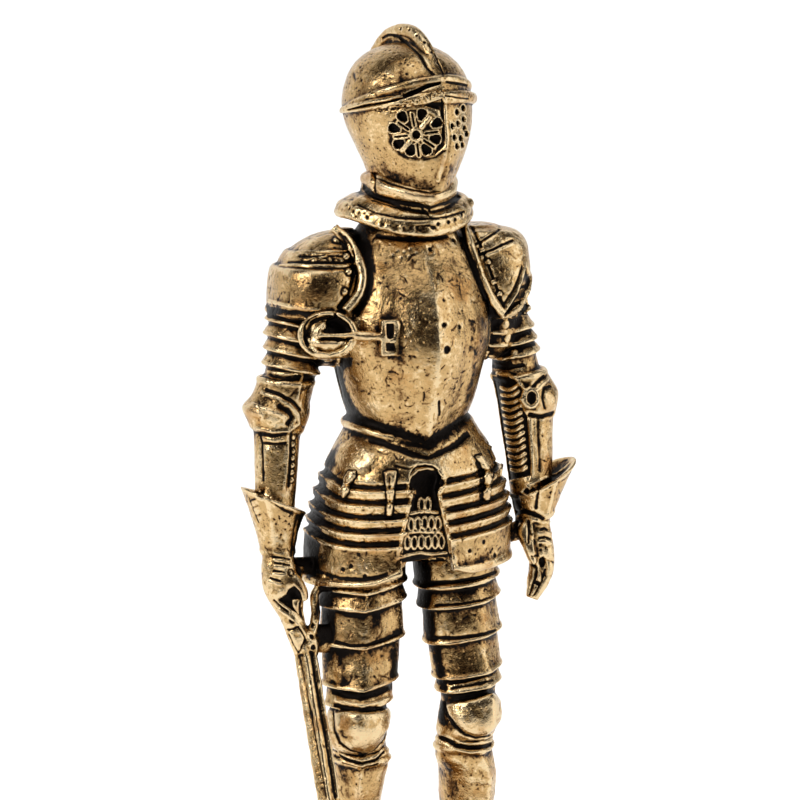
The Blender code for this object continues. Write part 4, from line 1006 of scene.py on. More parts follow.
# Where the armour's relief lies, in the photograph's pixels.
# A line has its width and height in mm and its ink before its pixels.
GORGET_LINES = {
    "hollow under the neck plates": (0.6, -0.3, 1.0, ((363, 187), (373.5, 195.8), (396, 201.5),
                                                      (419.8, 206), (430, 208.5), (446, 203.5),
                                                      (459, 196))),
    "crease": (0.32, -0.18, 0.9, ((358, 205), (376.3, 213), (397.3, 217.6), (417, 219.2), (425.4, 218.5))),
    "crease, left side": (0.32, -0.16, 0.8, ((433.8, 218.3), (446.5, 217), (464.7, 211.5))),
    "crease under the neck": (0.3, -0.1, 0.6, ((372, 200), (392, 207), (415, 211), (425, 212))),
    "mark in front": (0.3, -0.2, 0.9, ((422, 209), (427, 213.5), (432, 218.5), (424, 218.5))),
    "neck plates' clasp": (0.5, 0.2, 0.0, ((370.5, 172), (372.5, 189))),
    "groove beside the clasp": (0.35, -0.25, 0.9, ((374.6, 173), (375.5, 191))),
    "nub": (0.9, 0.5, 0.0, ((470, 201), (471, 203))),
    "roll's dark line": (0.35, -0.2, 1.0, ((375, 177), (392, 184.5), (412, 189.5), (430, 192.5), (446, 187))),
}
GORGET_DOTS = ((438.5, 224), (449, 222), (455.5, 219.5), (462, 215))
GORGET_DENTS = ((349, 208), (353, 211), (358.5, 212.5), (364, 213), (355, 216.5), (367, 217), (371, 214),
                (346, 205))
NECK_BAND = ((366, 176), (373, 181), (392, 188), (412, 193), (430, 196), (447, 190.5), (456, 184), (458, 191),
             (446, 198.5), (429, 203.5), (410, 201), (392, 196), (374, 190), (365.5, 183))
GORGET_RIM = ((372, 222), (392, 224), (415, 225.5), (436, 224.5), (440, 231), (420, 234), (398, 233.5),
              (378, 230))
TORSO_LINES = {
    "seam under the gorget": (0.6, -0.2, 0.8, ((378, 236), (400, 239), (424, 239.5), (446, 236))),
    "armhole's shadow": (1.3, -0.1, 0.9, ((362, 236), (367.5, 250), (369.5, 272), (367.5, 292), (359, 309))),
    "armhole's shadow, left": (1.0, -0.15, 1.0, ((461.5, 228), (468, 247), (478, 275), (489, 303),
                                                 (494, 315))),
    "slot": (0.4, -0.3, 0.9, ((439.6, 402), (439.8, 415))),
    # Darkens the colour in a broad band over the waist flange
    "dark band over the flange": (1.5, -0.1, 0.95, ((345, 416), (358, 421), (376, 427.5), (396, 434),
                                               (412, 441), (427, 446), (441, 438), (455, 429), (468, 414))),
    # Painted shade along the torso's sides
    "flank": (1.4, 0.0, 0.6, ((338, 366), (341, 384), (346, 404))),
    "flank, left": (1.1, 0.0, 0.55, ((474, 330), (476, 352), (473, 378), (467, 400))),
    # Darkens the colour in a streak by the left flank
    "dark streak by the left flank": (0.8, -0.05, 0.5, ((472, 322), (473, 336), (471, 350))),
}
TORSO_SPECKS = ((398, 250), (404, 251), (410, 248), (416, 252), (393, 254), (401, 257), (409, 256))
TORSO_HOLES = {0.42: ((444.5, 324.9), (460, 327), (430, 249.3), (454, 240)), 0.72: ((447.7, 349.8),)}
RIGHT_PAULDRON_LINES = {
    "lame": (0.34, 0.2, -0.3, ((296, 251.6), (320.8, 251.4), (344.4, 251.4), (351.5, 249.2))),
    "groove under it": (0.5, -0.28, 0.9, ((300, 255.5), (322, 255), (343, 255.5))),
    "second lame": (0.34, 0.2, -0.3, ((279.5, 265.1), (293.6, 264.8), (314.9, 265.6), (344.4, 266),
                                      (358.5, 263))),
    "groove over it": (0.4, -0.16, 0.8, ((288, 262), (315, 262.4), (342, 263), (352, 260.5))),
    "groove inside the roll": (0.5, -0.4, 1.0, ((345, 236), (350.5, 246), (353, 255), (354.2, 265),
                                                (353.8, 276), (351.5, 287), (346, 298), (339, 307))),
    "strap": (0.5, 0.25, 0.0, ((331, 232), (336, 226), (342, 224))),
    "dark under the strap": (0.8, -0.35, 1.0, ((340, 234), (345, 243))),
    "lower edge": (0.45, 0.28, -0.8, ((268.5, 301), (290, 306), (306, 309), (318, 310))),
}
# A darkened, roughened band between the right pauldron's first two lames
RIGHT_PAULDRON_DARK_BAND = ((299, 254), (343, 254.5), (341, 261.5), (300, 261))
RIGHT_RIVETS = ((336.7, 240.4), (346.7, 256.3), (349, 271.6), (345, 291.7))
LEFT_PAULDRON_LINES = {
    "lame": (0.34, -0.28, 0.95, ((475.5, 244.5), (487, 238), (499.4, 229.5))),
    "second lame": (0.34, -0.28, 0.95, ((480.5, 254.5), (495, 248.5), (513, 240))),
    "main plate's edge": (0.4, 0.22, -0.4, ((481, 257.5), (495, 251.5), (513, 243))),
    "groove inside the roll": (0.36, -0.3, 1.0, ((471.5, 226), (480.5, 246), (487, 262), (492.5, 277),
                                                 (503.5, 306))),
    "lower edge": (0.42, 0.25, -0.4, ((525, 268.6), (521.6, 281), (516.5, 293), (503.5, 313.5))),
    "groove over it": (0.36, -0.16, 0.7, ((522, 267), (518.3, 279), (513.5, 290), (503, 306))),
    "first arm lame": (0.3, -0.3, 1.0, ((516, 297.5), (522, 288.5), (529, 286))),
    "second arm lame": (0.3, -0.3, 1.0, ((505, 316.5), (518, 303.5), (528, 300.5))),
}
# A hollow under the left pauldron, its colour darkened a little as painted shade
ARM_UNDER_SHIELD = ((527, 268), (532, 280), (531, 300), (528, 314), (506, 318), (504.5, 315.5),
                    (518.5, 294), (523.5, 281))
LEFT_RIVETS = ((482, 250), (488, 262), (494, 282), (499.5, 294))
# Painted shade in the armpits, between the arms and the torso
LEFT_ARMPIT = ((489, 312), (500, 316), (501, 330), (500, 357), (491, 362), (485, 358), (488, 338))
RIGHT_ARMPIT = ((316, 358), (352, 358), (351, 366), (341, 370), (316, 368))
# Painted shade on the torso's sides, stronger on his right
RIGHT_FLANK = ((330, 356), (341, 357), (345, 385), (352, 404), (362, 418), (352, 421), (341, 405), (335, 385))
LEFT_FLANK = ((474, 320), (490, 316), (493, 345), (488, 366), (478, 382), (473, 350))
# Painted reflection: the right pauldron's front darkened towards brown, as a dark surround mirrored in it
PAULDRON_PAINTED_REFLECTION = ((285, 278), (310, 276), (338, 278), (345, 284), (338, 297), (315, 300), (290, 296))
# Painted shade under the right pauldron's lower edge
SHADE_UNDER_RIGHT_SHIELD = ((266, 306), (290, 311), (318, 313), (318, 322), (300, 324), (267, 318))
ARM_SHADOWS = (((501, 317), (512, 318), (522, 316), (525, 323), (512, 328.5), (501, 329.5)),
               ((501, 336), (515, 334), (529, 329), (532, 334), (515, 341.5), (501, 343)),
               ((500, 349), (515, 347), (533, 341), (536, 345), (516, 355), (500, 355.5)),
               ((498, 362), (516, 364), (524, 361), (522, 367), (508, 368), (496, 367)))
# Small raised lumps in the arm's shaded gaps, their colour cleared to pale gold as painted highlights
ARM_HIGHLIGHT_LUMPS = ((506, 324.5), (508.5, 338.5), (514, 352.5))
ARMPIT_LAMES = (((491, 332.5), (499, 332.8), (506, 332)), ((491, 345.5), (499, 346), (507, 345.4)),
                ((490, 356.5), (498, 359), (507, 360)))
LANCE_REST_LINES = {
    "dark round the boss": (0.42, -0.3, 1.0, ((317, 316.5), (309.5, 319), (305, 327), (304.6, 338),
                                              (307, 345))),
    "pin gap": (0.4, -0.45, 1.0, ((334.5, 312), (336.5, 318.5))),
    "bar": (0.4, 0.3, -0.6, ((320.8, 335.3), (338, 335.2), (353.8, 334.9))),
    "under the bar": (0.35, -0.2, 1.0, ((322, 338.6), (340, 338.8), (352, 338.4))),
}
LANCE_REST_PLATE = ((306.5, 338), (322, 339.8), (352.5, 339), (351, 347), (343, 354), (330, 357.5),
                    (317, 355), (309, 348))
LANCE_REST_BOSS = ((312, 325), (318, 320), (326, 320.5), (325, 327), (321.5, 333), (321, 338), (312, 340),
                   (308.5, 334))
LANCE_REST_HOLLOW = ((327.3, 319.4), (337.3, 318.8), (347.9, 324.7), (351.0, 331.2), (332.6, 333),
                     (322.5, 331.8), (326.7, 325.9))
BRACKET_HOLLOW = ((387.2, 324), (394, 324), (394.4, 337.5), (391, 339.5), (387.6, 338))
BRACKET_FOOT = ((386, 343), (394.5, 343), (395, 351), (386.5, 351))
RIGHT_ARM_LINES = {
    "inner seam": (0.42, -0.35, 1.0, ((291.5, 434), (291, 455), (289, 486))),
    "plate's bright edge": (0.36, 0.22, -0.6, ((288.2, 432), (287.6, 455), (284.5, 488))),
    "plate seam": (0.36, -0.2, 1.0, ((260, 434), (262, 444), (262.5, 465), (263, 480))),
    "couter rim": (0.42, 0.25, -0.5, ((262, 392.5), (278, 398), (290, 405), (298, 414), (299, 424),
                                      (290, 430.5), (272, 432), (257, 428))),
    "groove over it": (0.42, -0.25, 0.9, ((266, 389.5), (280, 394.5), (294, 402), (300.5, 410))),
    "couter's dark crescent": (0.75, -0.35, 1.0, ((280, 406.5), (288, 411), (292, 417), (288, 423.5))),
    "wing's ridge": (0.5, 0.3, -0.4, ((252, 404), (262, 408), (274, 412), (283, 416))),
    "dark under the elbow": (0.5, -0.25, 1.0, ((259, 433.5), (272, 436), (287, 434))),
    "amber plate's top": (0.36, -0.15, 0.8, ((264, 443), (275, 444), (286, 443))),
    "lame over the elbow": (0.42, -0.2, 0.9, ((262, 376), (276, 380), (292, 380), (301, 376))),
    "lame's bright edge": (0.36, 0.2, -0.5, ((268, 371.5), (284, 374), (300, 373.5))),
    "strap over the elbow": (0.4, 0.22, -0.5, ((302, 374), (300, 388), (297.5, 398))),
}
SLEEVE_BUMPS = ((294, 437.5), (293.6, 444), (294, 451), (293.4, 458), (293.4, 465.5), (292.6, 472.5),
                (292.4, 480))
RIGHT_CUFF_LINES = {
    "bright fold": (0.7, 0.1, -0.1, ((265.6, 496), (270, 512), (272.5, 530), (274.6, 548))),
    "rim": (0.4, 0.15, -0.3, ((243.5, 489.5), (258, 491), (272, 499), (287, 507), (300, 513))),
    "groove under the rim": (0.32, -0.12, 0.6, ((268, 500), (282, 509), (292, 514))),
    "scratch": (0.24, -0.1, 0.6, ((249.2, 498), (254, 512), (258.6, 522.5))),
    "cross scratch": (0.24, -0.1, 0.6, ((249.5, 501.5), (255, 499.5))),
    "second cross scratch": (0.24, -0.1, 0.6, ((252, 508), (257.5, 506))),
    "third cross scratch": (0.24, -0.1, 0.6, ((255, 516), (260, 514.5))),
    "inner edge": (0.4, -0.1, 0.8, ((296.5, 516), (293, 535), (291, 556))),
}
RIGHT_CUFF_DOTS = ((279, 516.6), (286, 521), (285.4, 529.3), (281, 534.5), (279.6, 518.5), (276, 524),
                   (283, 540), (289, 524))
HAND_SLITS = {
    "first slit": (0.24, -0.22, 0.8, ((274, 556.8), (281.5, 558))),
    "first slit's end": (0.22, -0.18, 0.8, ((284.5, 558.5), (290, 559.2))),
    "second slit": (0.22, -0.2, 0.8, ((275, 562.6), (281, 563.6))),
    "second slit's end": (0.22, -0.18, 0.8, ((283.5, 564), (289, 565.3))),
    "third slit": (0.24, -0.24, 0.8, ((274, 570.6), (283, 572))),
    "fourth slit": (0.27, -0.28, 0.9, ((270.5, 578.2), (280.5, 581.2))),
    "first lip": (0.3, 0.16, -0.6, ((274.5, 559.6), (283, 560.8))),
    "second lip": (0.3, 0.16, -0.6, ((275, 566), (284, 567.4))),
    "third lip": (0.3, 0.16, -0.6, ((274, 573.8), (283.5, 575))),
    "fourth lip": (0.3, 0.16, -0.6, ((271.5, 582), (280.5, 584.5))),
}
CUFF_HOLE = (260.8, 495)
HOOK = ((316, 590), (322, 585), (332, 586), (333, 593), (325, 598), (323.5, 612), (320, 622), (312, 620),
        (316, 604))
HAND_RIVET = (290.8, 572.5)
GRIP_SHADOW = ((277.5, 600.5), (286.5, 594.8), (289, 590), (294, 586.5), (300, 592), (302.3, 604),
               (304.5, 619.5), (296, 612), (283, 604.5))
GRIP = ((293.5, 600.5), (300, 600), (300.8, 609), (301, 616.5), (296.5, 611.5), (293.8, 607))
FINGER_LINES = {
    "top edge": (0.4, 0.22, -0.5, ((279.7, 609.7), (288.6, 615.7), (298, 624.7), (305, 634.6))),
    "knuckle crease": (0.28, -0.22, 0.8, ((287.5, 629.8), (293, 629.2), (298.4, 626.3))),
    "finger gap": (0.28, -0.24, 0.9, ((298.8, 627.4), (303, 633.5), (305.8, 640))),
    "finger tip": (0.28, -0.22, 0.8, ((305.2, 640.4), (301, 648), (298.6, 653))),
    "finger's outer gap": (0.26, -0.16, 0.6, ((288.9, 635), (293, 644.5), (298.4, 653))),
    "small crease": (0.32, -0.16, 0.7, ((290, 620.5), (294, 622.5))),
    "hand's edge": (0.36, -0.2, 0.9, ((274, 600.5), (281, 606.5), (288, 611.5))),
    "fingers' ridge": (0.4, 0.14, -0.4, ((291, 633), (296, 642), (299, 649))),
}
GUARD_HOLES = ((312.5, 625.2), (312, 636.5), (313.5, 647.5))
BLADE_LINES = {
    "fuller": (0.3, -0.18, 0.8, ((311, 652), (315, 680), (320.5, 712), (326, 742), (331.5, 775), (335, 797))),
    "bevel": (0.3, -0.1, 0.4, ((299.5, 656), (305, 684), (311, 712), (317, 745), (322.5, 775), (326, 797))),
    "bright edge": (0.36, 0.15, -0.5, ((315.5, 656), (320, 684), (325, 712), (330, 742), (335, 775),
                                       (338, 797))),
}
LEFT_ARM_LINES = {
    "arch over the mail": (0.4, 0.3, -0.6, ((497, 373), (508, 374), (516, 378), (521, 384), (524.5, 391))),
    "plate's edge": (0.36, 0.2, -0.4, ((530.5, 418), (531.5, 445), (533, 474))),
    "plate's dark band": (0.5, -0.12, 0.7, ((538, 420), (539, 445), (540, 470))),
    "elbow strap": (0.5, 0.32, -0.5, ((537, 389.5), (542, 384), (548, 378.5))),
    "groove under it": (0.4, -0.3, 1.0, ((533, 386.5), (538, 381.5), (544, 376))),
    "groove beside it": (0.36, -0.25, 0.9, ((545, 388), (551, 386))),
    "lobe's crease": (0.4, -0.25, 0.9, ((544, 389), (542.5, 398), (545, 408))),
    "elbow's shadow": (0.6, -0.4, 1.0, ((530, 415), (541, 417), (553, 413.5))),
    "lame": (0.42, -0.25, 1.0, ((492, 366), (507, 368.5), (524, 365.5))),
}
LEFT_BOSS = (530, 398)
SLEEVE_ROWS = (388.0, 474.0, 6.8)
SLEEVE_LEVELS = (376, 450, 476)
SLEEVE_LEFT = (499, 507, 512)
SLEEVE_RIGHT = (517, 524, 526)
SLEEVE_MAIL = ((492, 376), (508, 376.5), (518, 383), (521.5, 391), (519.5, 401), (523, 411), (527, 416),
               (529.5, 450), (530.5, 476), (508, 480), (502, 450), (496, 410))
LEFT_CUFF_LINES = {
    "rim": (0.4, 0.2, -0.4, ((526.4, 485.4), (537.8, 481), (547.4, 477.2), (557, 473.4), (564.6, 467.7),
                             (570.4, 462.5))),
    "crease": (0.38, -0.2, 0.9, ((539.3, 486.5), (537, 498.3), (536, 508))),
    "fold": (0.5, 0.14, -0.3, ((557, 480), (552, 497), (548, 514))),
    "wrist": (0.6, -0.4, 1.0, ((515, 513), (523.5, 511.2), (533, 513.6), (543.6, 518.6))),
    "diamond, upper": (0.32, 0.2, -0.4, ((521.5, 492), (526.5, 486.5), (531, 488.5))),
    "diamond, lower": (0.32, 0.2, -0.4, ((521.5, 492), (527, 496.5), (532, 494))),
}
LEFT_CUFF_VOID = ((511, 494), (518.5, 496), (521.5, 507), (516, 514), (510, 511))
LEFT_CUFF_HOLES = ((526.4, 490.2), (532.8, 490.0))
LEFT_HAND_LINES = {
    "first slit": (0.34, -0.3, 1.0, ((541, 529.8), (544, 528.4), (547, 529.4))),
    "second slit": (0.34, -0.3, 1.0, ((539.5, 538), (545, 537), (550.5, 539))),
    "first lip": (0.36, 0.18, -0.5, ((539, 533), (545, 532.4), (551, 533.4))),
    "second lip": (0.36, 0.18, -0.5, ((539, 542), (545, 541.6), (551, 543))),
    "wrist ridge": (0.4, 0.2, -0.4, ((530, 524), (532.5, 534), (532, 545), (533.5, 556))),
    "groove beside it": (0.4, -0.25, 0.9, ((528.6, 521), (529, 533), (528.6, 543))),
    "cuff's fold": (0.36, 0.16, -0.3, ((536, 521), (543, 522.5), (550, 521.5))),
    "thumb crease": (0.34, -0.25, 0.9, ((532, 556.5), (537.5, 555.5))),
    "finger gap": (0.4, -0.36, 1.0, ((531.3, 564), (536.6, 568.1), (535, 578), (531.3, 588), (528.6, 594.5))),
    "second finger gap": (0.34, -0.2, 0.9, ((545.5, 570), (542.5, 580), (536.5, 592), (532.8, 597))),
    "knuckle": (0.32, -0.14, 0.7, ((548.5, 560.5), (554, 562.5))),
}
LEFT_HAND_DOTS = ((540.4, 544.8), (546, 547.6), (541, 550))
PALM = ((539.5, 558.5), (543.5, 556.6), (547.5, 560.5), (548.4, 569), (547, 577), (541.5, 579.5),
        (539.8, 571), (538.8, 564))
PALM_PIT = (542.3, 563)
PALM_HOLE = (537, 583)
HIP_LINES = {
    "shadow under the flange": (0.8, -0.22, 1.0, ((372, 440), (396, 448), (415, 455), (429, 458.5),
                                                  (441, 452.5), (457, 444), (468, 434))),
    "scrape": (0.35, -0.14, 0.5, ((396, 466), (409, 469), (418, 466))),
}
# A low bulge on the hip to catch the light; its colour is also cleared a little, a painted highlight
HIP_BULGE = ((341, 445), (352, 442), (366, 445), (374, 455), (372, 467), (358, 473), (342, 470), (336, 457))
STRAPS = {
    "first strap": ((345, 478), (349.5, 471.5), (356, 471.5), (355.5, 476), (351.5, 482), (349.5, 487.5),
                    (347.8, 493), (344.5, 498), (341.3, 493), (342.5, 487.5), (344.8, 482)),
    "second strap": ((384.3, 472.5), (389, 470.3), (396.5, 471), (395.8, 479), (394, 490), (392.8, 503),
                     (391.8, 515.5), (386.5, 514), (387.5, 500), (386.3, 488), (385.3, 479)),
    "third strap": ((475.5, 456.5), (480.5, 455), (485.5, 461), (489, 469), (490.5, 480), (489.8, 490),
                    (487, 502), (483, 502), (484.6, 490), (485, 480), (483.5, 470), (480, 462.5)),
}
BUCKLE_LINES = {
    "second strap's slot": (0.45, -0.2, 0.6, ((389.8, 478), (389.8, 492), (389.3, 502))),
    "third strap's shadow": (0.6, -0.2, 1.0, ((477, 463), (480.5, 472), (481.5, 484), (481, 497))),
    "ring": (0.4, 0.3, -0.4, ((489, 446.5), (495, 448.6), (499.5, 455.5), (501.6, 465), (500, 476))),
    "ring's bar": (0.4, 0.25, -0.4, ((487.8, 469), (491.5, 466.5), (495.5, 463))),
    "inside the ring": (0.8, -0.35, 1.0, ((489.5, 451.5), (493.5, 458), (496.5, 470), (494, 476.5))),
}
KEYHOLE_RIM = {
    "head": (0.4, 0.2, -0.5, ((408.5, 492), (407.5, 484), (410, 476.5), (417, 470), (427.4, 467.5),
                              (437.5, 470), (443.8, 476.5), (445.5, 484), (442, 490.5))),
    "right side": (0.42, 0.25, -0.6, ((411.5, 497), (408.5, 509), (404, 526), (401, 540), (397.5, 558))),
    "left side": (0.5, 0.3, -0.7, ((439, 493), (441, 505), (444.5, 520), (448, 536), (450, 552))),
}
KEYHOLE_DARK = ((410.5, 493), (409.5, 485), (412.5, 477), (419, 471.5), (427.4, 469.6), (436.5, 471.5),
                (442.5, 477.5), (443.5, 485), (440.5, 490), (436.5, 494), (438.5, 505), (442, 520),
                (445.5, 536), (448, 561), (400, 562), (403.5, 541), (407, 526), (411, 511), (413, 497))
MAIL_RINGS = ((421, 505), (428, 504.5), (410.5, 524.5), (417.3, 524), (424.3, 523), (431.3, 523),
              (438, 523.5), (407, 542.5), (414, 542.5), (421, 542), (428, 542), (435, 541.5),
              (441.5, 541.5))
MAIL_ROWS = (((411, 513.5), (419, 512), (427, 512), (437, 512.5)), ((404.5, 533.5), (417, 532),
                                                                    (430, 532), (442, 532.5)),
             ((402, 557), (410, 554.5), (420, 552.5), (432, 554), (446, 552.5)))
TASSET_LINES = {
    "right tasset's rim": (0.4, 0.12, -0.4, ((306, 576), (330, 582.5), (355, 586.5), (378, 583), (397, 574))),
    "dark over the rim": (0.5, -0.14, 0.55, ((318, 571.5), (340, 578), (365, 580), (386, 575))),
    "left tasset's rim": (0.4, 0.12, -0.4, ((459, 568), (476, 566), (494, 560.5), (507, 553))),
}
TASSET_DENTS = ((326.7, 574.7), (365, 576.2), (351, 566), (343, 569.5), (463, 539), (484, 542),
                (470, 551), (495, 555))
TASSET_KNOB = (454, 559)
# Painted shade down the outer side of the skirt on his right
HIP_SIDE_SHADE = ((333, 450), (338, 456), (328, 478), (324, 500), (321, 530), (317, 560), (309, 576),
            (296, 570), (298, 500), (312, 466))
# Painted shade on the web between his right wrist and the hip
WRIST_WEB_SHADE = ((292, 548), (316, 545), (318, 571), (303, 575), (298, 570))
RIGHT_LEG_LINES = {
    "front crease": (0.36, 0.12, -0.2, ((366.5, 594), (367.5, 611))),
    "gap over the knee": (0.75, -0.3, 1.0, ((334, 691), (345, 695.3), (362, 697.5), (380, 693), (393, 686))),
    "plate over the knee": (0.42, 0.3, -0.7, ((336, 700), (350, 704), (362, 706), (378, 702.5), (391, 697))),
    "gap under it": (0.75, -0.3, 1.0, ((335, 706), (350, 709.5), (362, 711), (378, 708), (391, 702.5))),
    "groove round the knee": (0.42, -0.32, 1.0, ((333, 713), (334, 730), (339.5, 743), (350, 751),
                                                 (362, 754.5), (374, 751), (383, 741), (389.5, 729))),
    "strap's upper edge": (0.4, 0.3, -0.7, ((339, 751.5), (350, 757.5), (362, 760.5), (374, 757.5),
                                            (384, 748))),
    "groove in the strap": (0.36, -0.25, 1.0, ((340, 755.5), (350, 761), (362, 763.5), (375, 760.5),
                                               (384, 752))),
    "under the strap": (0.4, -0.2, 0.8, ((342, 763.5), (362, 768.5), (378, 764))),
    "thigh plate's upper shadow": (0.42, -0.15, 1.0, ((336, 642), (350, 646), (366, 645.5), (384, 640),
                                                      (398, 633))),
}
RIGHT_KNEE = ((336, 714), (345, 711.5), (362, 713), (380, 711), (390, 706), (390, 718), (387, 728),
              (379, 740), (371, 747), (362, 750.5), (351, 747), (342, 740), (337, 730))
LEFT_KNEE = ((447.5, 706), (458, 702.5), (470, 701), (482, 697.5), (492, 694), (499, 699), (502, 708),
             (500.5, 718), (494, 728), (486, 734), (476, 735.5), (466, 732), (457, 723), (450, 714))
# Darkened patches of the legs' colour: those on the thighs' outer and inner sides, the knees' sides and under
# the upper lame are painted shade; the others darken given places
LEG_SHADE_AND_DARK_PATCHES = {
    "outer side of the right thigh": (0.95, 3.0, ((318, 597), (330, 600), (334, 612), (334, 640),
                                                  (322, 645), (314, 620))),
    "inner side of the right thigh": (0.8, 3.0, ((383, 634), (402, 627), (402, 640), (385, 646), (372, 646))),
    "upper plate": (0.45, 4.0, ((371, 614), (385, 611), (385, 628), (378, 640), (369, 640))),
    "under the upper lame": (0.8, 2.0, ((343, 611.5), (366, 613.5), (366, 620), (356, 618.5), (345, 616))),
    "side of the lower plate": (0.5, 3.5, ((321, 653), (331, 651), (335, 685), (324, 682))),
    "streak in the lower plate": (0.45, 3.0, ((336, 652), (344, 652), (347, 690), (340, 688))),
    "top of the lower plate": (0.7, 2.0, ((347, 651), (357, 653), (355, 657), (348, 656))),
    "edge of the lower plate": (0.7, 3.0, ((391, 650), (400, 645), (399, 690), (388, 692))),
    "right knee's upper part": (0.25, 3.0, ((348, 714), (367, 714), (367, 726), (360, 728), (350, 721))),
    "right knee's side": (0.65, 4.0, ((335, 724), (344, 728), (351, 738), (346, 744), (338, 738))),
    "inner side of the left thigh": (1.0, 3.5, ((412, 562), (430, 564), (431, 585), (430, 604),
                                                (434, 620), (438, 642), (445, 672), (448, 692),
                                                (441, 694), (432, 655), (423, 620), (412, 600))),
    "left thigh's upper lame": (0.4, 3.0, ((455, 588), (476, 586), (478, 598), (458, 599))),
    "left thigh's plate": (0.4, 4.0, ((450, 615), (468, 612), (474, 622), (462, 631), (450, 627))),
    "left knee's inner side": (1.0, 3.0, ((437, 700), (446, 701), (449, 714), (456, 725), (452, 733),
                                          (440, 725), (437, 712))),
    "left knee's upper part": (0.4, 3.0, ((470, 703), (486, 699), (488, 706), (474, 710))),
    "amber on the left greave": (0.3, 4.0, ((441, 757), (450, 757), (455, 778), (463, 799), (446, 799),
                                            (438, 780))),
    "amber on the right greave": (0.3, 3.0, ((338, 766), (347, 768), (350, 799), (341, 799))),
}
LEFT_LEG_LINES = {
    "upper lame's edge": (0.45, 0.15, -0.6, ((428, 587), (450, 586.5), (475, 583), (494, 577))),
    "shadow over it": (0.4, -0.15, 1.0, ((428, 582.5), (455, 581.5), (480, 577.5), (496, 572))),
    "shadow over the second lame": (0.36, -0.12, 0.7, ((436, 605), (460, 604), (482, 600.5), (498, 595))),
    "shadow over the third lame": (0.42, -0.2, 1.0, ((434, 637.5), (455, 638), (480, 635), (497, 630.5))),
    "groove in the lame": (0.36, -0.25, 1.0, ((450, 683.5), (470, 680), (492, 674))),
    "second groove in the lame": (0.36, -0.2, 0.9, ((452, 688), (472, 685), (493, 680))),
    "groove round the knee": (0.42, -0.32, 1.0, ((444.5, 703), (447, 714), (455, 726), (465, 734.5),
                                                 (476, 738.5), (490, 736))),
    "strap's upper edge": (0.4, 0.3, -0.7, ((441, 733), (455, 740), (470, 743.5), (491, 740.5))),
    "groove in the strap": (0.42, -0.3, 1.0, ((440, 737.5), (455, 744.5), (470, 748), (491, 745))),
    "strap's lower edge": (0.4, 0.25, -0.6, ((440, 742), (455, 749), (470, 752.5), (490, 749.5))),
}

# Guessed details of the back, in the figure's frame: the middle seam, then those that both sides have
SPINE_SEAM = ((0.0, 11.5, 116.0), (0.0, 12.0, 106.0), (0.0, 10.5, 97.0), (0.0, 9.0, 89.5))
BACK_SEAMS = (
    ((8.5, 9.5, 113.0), (10.0, 9.5, 105.0), (9.0, 8.5, 97.0), (7.5, 7.5, 90.0)),
    ((12.9, 0.6, 101.0), (12.2, 0.6, 96.0), (11.0, 0.6, 91.0)),
    ((13.4, 3.4, 27.0), (13.4, 3.9, 18.0), (12.6, 3.4, 10.0)),
    ((16.8, 3.0, 68.0), (16.9, 3.0, 64.5)),
)
BACK_STRAPS = (
    ((12.5, -2.4, 97.5), (12.8, 0.6, 97.3), (12.2, 3.8, 97.5)),
    ((9.0, 5.6, 31.0), (11.5, 4.6, 31.0), (13.6, 1.5, 31.0)),
    ((3.0, 13.2, 76.6), (3.0, 13.2, 74.0), (3.0, 13.2, 71.0)),
)
BACK_RIVETS = ((12.4, -2.0, 97.5), (14.0, 3.6, 24.0), (13.8, 3.6, 13.0), (6.0, 12.0, 110.0),
               (4.0, 12.0, 92.0))
BACK_STEPS = 120


def carve_mail(clay):
    """The keyhole's dark inside, with the mail skirt's bars and links across it."""
    clay.patch(KEYHOLE_DARK, -0.1, 1.0, 1.4)
    clay.lines(KEYHOLE_RIM)
    random = np.random.default_rng(31)
    for pixels in MAIL_ROWS:
        clay.line(pixels, 0.38, 0.4, -0.7, 1.4)
    for centre in MAIL_RINGS:
        ring = oval(centre, 2.9, 6.6, 13)
        clay.line(np.vstack([ring, ring[:1]]), 0.32, 0.42, random.uniform(-0.9, -0.2), 1.4)


def carve_sleeve_mail(clay):
    """The mail on the inner side of the left arm, and the bumps on the right one."""
    clay.patch(SLEEVE_MAIL, -0.3, 0.9, 2.0)
    random = np.random.default_rng(21)
    for y in np.arange(*SLEEVE_ROWS):
        left = float(np.interp(y, SLEEVE_LEVELS, SLEEVE_LEFT))
        right = float(np.interp(y, SLEEVE_LEVELS, SLEEVE_RIGHT))
        dip, rise = random.uniform(1.0, 2.5), random.uniform(2.0, 4.5)
        middle = (left + right) / 2
        clay.line(((left, y), (middle - 2, y + dip), (middle + 3, y + dip * 0.4), (right, y - rise)),
                  0.52, 0.42, random.uniform(-0.7, -0.1), 1.2)
    clay.dots(SLEEVE_BUMPS, 0.75, -0.25, 1.0, 1.0)
    clay.dots(SLEEVE_BUMPS, 0.5, 0.5, -0.7, 1.0)


